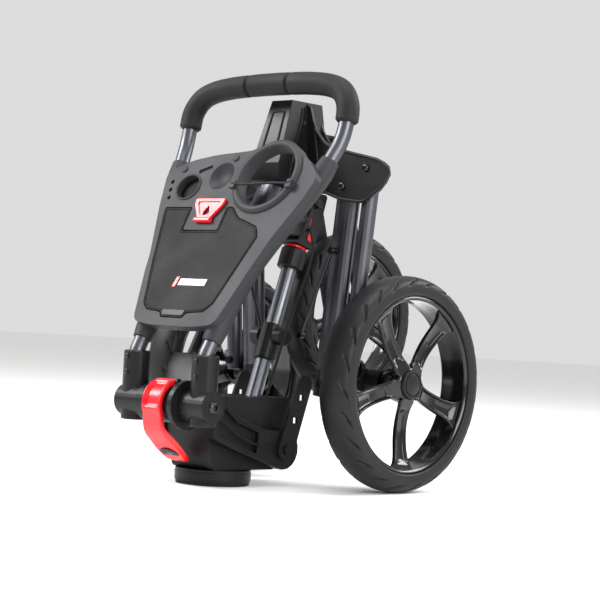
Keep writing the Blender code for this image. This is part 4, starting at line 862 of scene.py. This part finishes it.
class TROLLEY_OT_trim(bpy.types.Operator):
    """Beads round the wing plates, ribs of the channel cheeks and base, and red accents on the mast head"""
    bl_idname = "trolley.trim"
    bl_label = "Make Trim"

    def execute(self, context):
        bead = context.scene.trolley_sizes.rim_trim
        for side, sign in SIDES:
            edge = rounded([(x * sign, z) for x, z in WING_HALF], 0.008)
            inset = grown(edge, -bead * 0.9)
            path = [Vector((x, FRONT_TO_ROW - 0.0015, z)) for x, z in inset]
            fit("wing_bead_" + side, bar(path, bead, ring=True), "nylon", STILL, "frame", "black_plastic")
            for i, line in enumerate(CHEEK_RIBS):
                path = curve_through([(sign * CHEEK_FACE, y + FRONT_TO_ROW, z) for y, z in line], 6)
                last = len(path) - 1
                radii = [0.0012 * (0.4 + 0.6 * ease(min(k, last - k) / 3)) for k in range(last + 1)]
                fit(f"cheek_rib_{side}_{i + 1}", swept(path, radii, 12), "nylon", STILL, "frame",
                    "black_plastic")
            bm = moved(lathe(SOCKET_BOSS, 48), flipped(sign))
            at = Vector((sign * SOCKET_FACE, HINGE.y, HINGE.z))
            fit("socket_boss_" + side, bm, "nylon", Matrix.Translation(at), "handle", "black_plastic")
        panel = rounded([(-0.0105, 0.352), (0.0105, 0.352), (0.0085, 0.405), (-0.0085, 0.405)], 0.003)
        slope = math.atan2(PANEL_HIGH[0] - PANEL_LOW[0], PANEL_HIGH[1] - PANEL_LOW[1])
        lay = (Matrix.Translation((0, FRONT_TO_ROW + PANEL_LOW[0], PANEL_LOW[1]))
               @ Matrix.Rotation(-slope, 4, "X") @ Matrix.Translation((0, 0, -PANEL_LOW[1])))
        path = [Vector((x, -0.0002, z)) for x, z in panel]
        fit("housing_front_bead", bar(path, 0.0013, ring=True), "nylon", lay, "frame", "black_plastic")
        for side, sign in SIDES:
            for i, (y, z) in enumerate(((-0.008, 0.392), (0.010, 0.372), (-0.022, 0.350))):
                across = sign * (HOUSING_HALF - HOUSING_TAPER * (z - HOUSING_FOOT) / HOUSING_RISE)
                bm = moved(lathe(HOUSING_SCREW, 24), flipped(sign))
                at = Matrix.Translation((across, y + FRONT_TO_ROW, z))
                fit(f"housing_screw_{side}_{i + 1}", bm, "screw", at, "frame", "steel")
            rib = curve_through([(sign * x, FRONT_TO_ROW + y, z) for x, y, z in HOUSING_RIB], 6)
            fit("housing_rib_" + side, bar(rib, 0.0014), "nylon", STILL, "frame", "black_plastic")
        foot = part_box("base_foot")
        centre = (foot[0] + foot[1]) / 2
        band = lathe([(0.0045, 0.0392), (0.0052, 0.0404), (0.0130, 0.0404), (0.0142, 0.0392)], 96, ring=True)
        bm = moved(band, turned(centre.x, centre.y, 0.0, "Y", -90))
        fit("foot_band", bm, "nylon", STILL, "frame", "black_plastic")
        for i, (x, y, t) in enumerate(((0.0142, -0.006, 0.262), (0.0142, 0.003, 0.246),
                                       (-0.0142, -0.006, 0.262))):
            outline = rounded([(y - 0.0035, t - 0.004), (y + 0.0035, t - 0.004), (y + 0.0035, t + 0.004),
                               (y - 0.0035, t + 0.004)], 0.0012, 3)
            low, high = sorted((x - math.copysign(0.0004, x), x + math.copysign(0.0008, x)))
            fit(f"head_accent_{i + 1}", slab(outline, low, high, "X"), "red", MAST, "frame", "red_plastic")
        return {"FINISHED"}


# ---------------------------------------------------------------- finishes on the CAD nodes
SLOT_FINISH = {"black_plastic": "nylon", "console_plastic": "console", "panel_plastic": "panel",
               "red_plastic": "red", "gloss_black": "rim", "foam": "foam", "rubber": "rubber", "tyre": "tyre",
               "tube": "tube", "bright_tube": "mast", "steel": "screw"}


class TROLLEY_OT_finishes(bpy.types.Operator):
    """Make the finishes and give each CAD node the one of its material slot"""
    bl_idname = "trolley.finishes"
    bl_label = "Apply Finishes"

    def execute(self, context):
        paint(context.scene.trolley_colours)
        slots = {row["node"]: row.get("material_slot") for row in frame["record"]["subparts"]}
        for name, body in frame["nodes"].items():
            finish = MADE[SLOT_FINISH[slots[name]]]
            body.data.materials.clear()
            body.data.materials.append(finish)
            body.data.shade_smooth()
            body.data.set_sharp_from_angle(angle=CAD_SHARP)
        return {"FINISHED"}


# ---------------------------------------------------------------- stage
LIT_SPOT = Vector((0.0, 0.0, 0.22))
# name, place, size in metres and watts
LAMPS = (("key", (-1.3, -1.2, 1.5), 0.9, 56.0), ("fill", (1.8, -0.4, 0.9), 1.0, 30.0),
         ("rim", (0.9, 1.6, 1.4), 1.0, 34.0), ("top", (0.1, -0.1, 2.0), 1.0, 30.0))
CAMERA_SPOT = (1.3531, -1.4389 + FRONT_TO_ROW, 0.1711)
CAMERA_TURN, CAMERA_PITCH, CAMERA_ROLL = 42.81, -0.82, 3.32
LENS, SENSOR = 108, 36             # both in millimetres


class TROLLEY_OT_stage(bpy.types.Operator):
    """Pale floor, soft studio lights and the camera"""
    bl_idname = "trolley.stage"
    bl_label = "Make Stage"

    def execute(self, context):
        scene = context.scene
        scene.view_settings.view_transform = "Standard"
        material = bpy.data.materials.new("matt_white_paper")
        material.use_nodes = True
        shader = material.node_tree.nodes["Principled BSDF"]
        shader.inputs["Base Color"].default_value = (*linear("#F4F4F3"), 1.0)
        shader.inputs["Roughness"].default_value = 0.9
        disc = lathe([(-0.0005, 0), (-0.0005, 12.0), (-0.02, 12.0), (-0.02, 0)], 96)
        floor = mesh_object("floor", disc, material, Matrix.Rotation(math.radians(-90), 4, "Y"))
        world = scene.world or bpy.data.worlds.new("studio")
        scene.world = world
        world.use_nodes = True
        background = world.node_tree.nodes["Background"]
        background.inputs["Color"].default_value = (1.0, 1.0, 1.0, 1.0)
        background.inputs["Strength"].default_value = 0.72
        for name, spot, size, watts in LAMPS:
            lamp = bpy.data.lights.new(name, "AREA")
            lamp.energy = watts
            lamp.size = size
            made = bpy.data.objects.new(name, lamp)
            scene.collection.objects.link(made)
            made.location = spot
            made.rotation_euler = (LIT_SPOT - Vector(spot)).to_track_quat("-Z", "Y").to_euler()
        turn, pitch, roll = (math.radians(angle) for angle in (CAMERA_TURN, CAMERA_PITCH, CAMERA_ROLL))
        across = Vector((math.cos(turn), math.sin(turn), 0))
        level = Vector((-math.sin(turn), math.cos(turn), 0))
        up = Vector((0, 0, 1))
        look = level * math.cos(pitch) - up * math.sin(pitch)
        top = up * math.cos(pitch) + level * math.sin(pitch)
        right = across * math.cos(roll) + top * math.sin(roll)
        above = top * math.cos(roll) - across * math.sin(roll)
        lens = bpy.data.cameras.new("camera")
        lens.lens = LENS
        lens.sensor_width = SENSOR
        camera = bpy.data.objects.new("camera", lens)
        scene.collection.objects.link(camera)
        turn_matrix = Matrix((right, above, -look)).transposed().to_4x4()
        camera.matrix_world = Matrix.Translation(CAMERA_SPOT) @ turn_matrix
        scene.camera = camera
        return {"FINISHED"}


class TROLLEY_PT_panel(bpy.types.Panel):
    """Sidebar panel that lists the trolley's makers and settings"""
    bl_label = "Folded Push Trolley"
    bl_idname = "TROLLEY_PT_panel"
    bl_space_type = "VIEW_3D"
    bl_region_type = "UI"
    bl_category = "Trolley"

    def draw(self, context):
        for operator in MAKERS:
            self.layout.operator(operator.bl_idname)
        for group in (context.scene.trolley_sizes, context.scene.trolley_colours):
            for name in group.__annotations__:
                self.layout.prop(group, name)


MAKERS = (TROLLEY_OT_finishes, TROLLEY_OT_wheels, TROLLEY_OT_handle, TROLLEY_OT_console, TROLLEY_OT_lid,
          TROLLEY_OT_lever, TROLLEY_OT_screws, TROLLEY_OT_trim, TROLLEY_OT_stage)
CLASSES = (TrolleyColours, TrolleySizes, *MAKERS, TROLLEY_PT_panel)


def register():
    """Register the settings and the makers, and hang the settings on the scene."""
    for made in CLASSES:
        bpy.utils.register_class(made)
    bpy.types.Scene.trolley_colours = PointerProperty(type=TrolleyColours)
    bpy.types.Scene.trolley_sizes = PointerProperty(type=TrolleySizes)


def unregister():
    """Undo what register does."""
    del bpy.types.Scene.trolley_sizes
    del bpy.types.Scene.trolley_colours
    for made in reversed(CLASSES):
        bpy.utils.unregister_class(made)


def main():
    """Make everything in order."""
    register()
    for maker in MAKERS:
        group, name = maker.bl_idname.split(".")
        getattr(getattr(bpy.ops, group), name)()


if __name__ == "__main__":
    main()
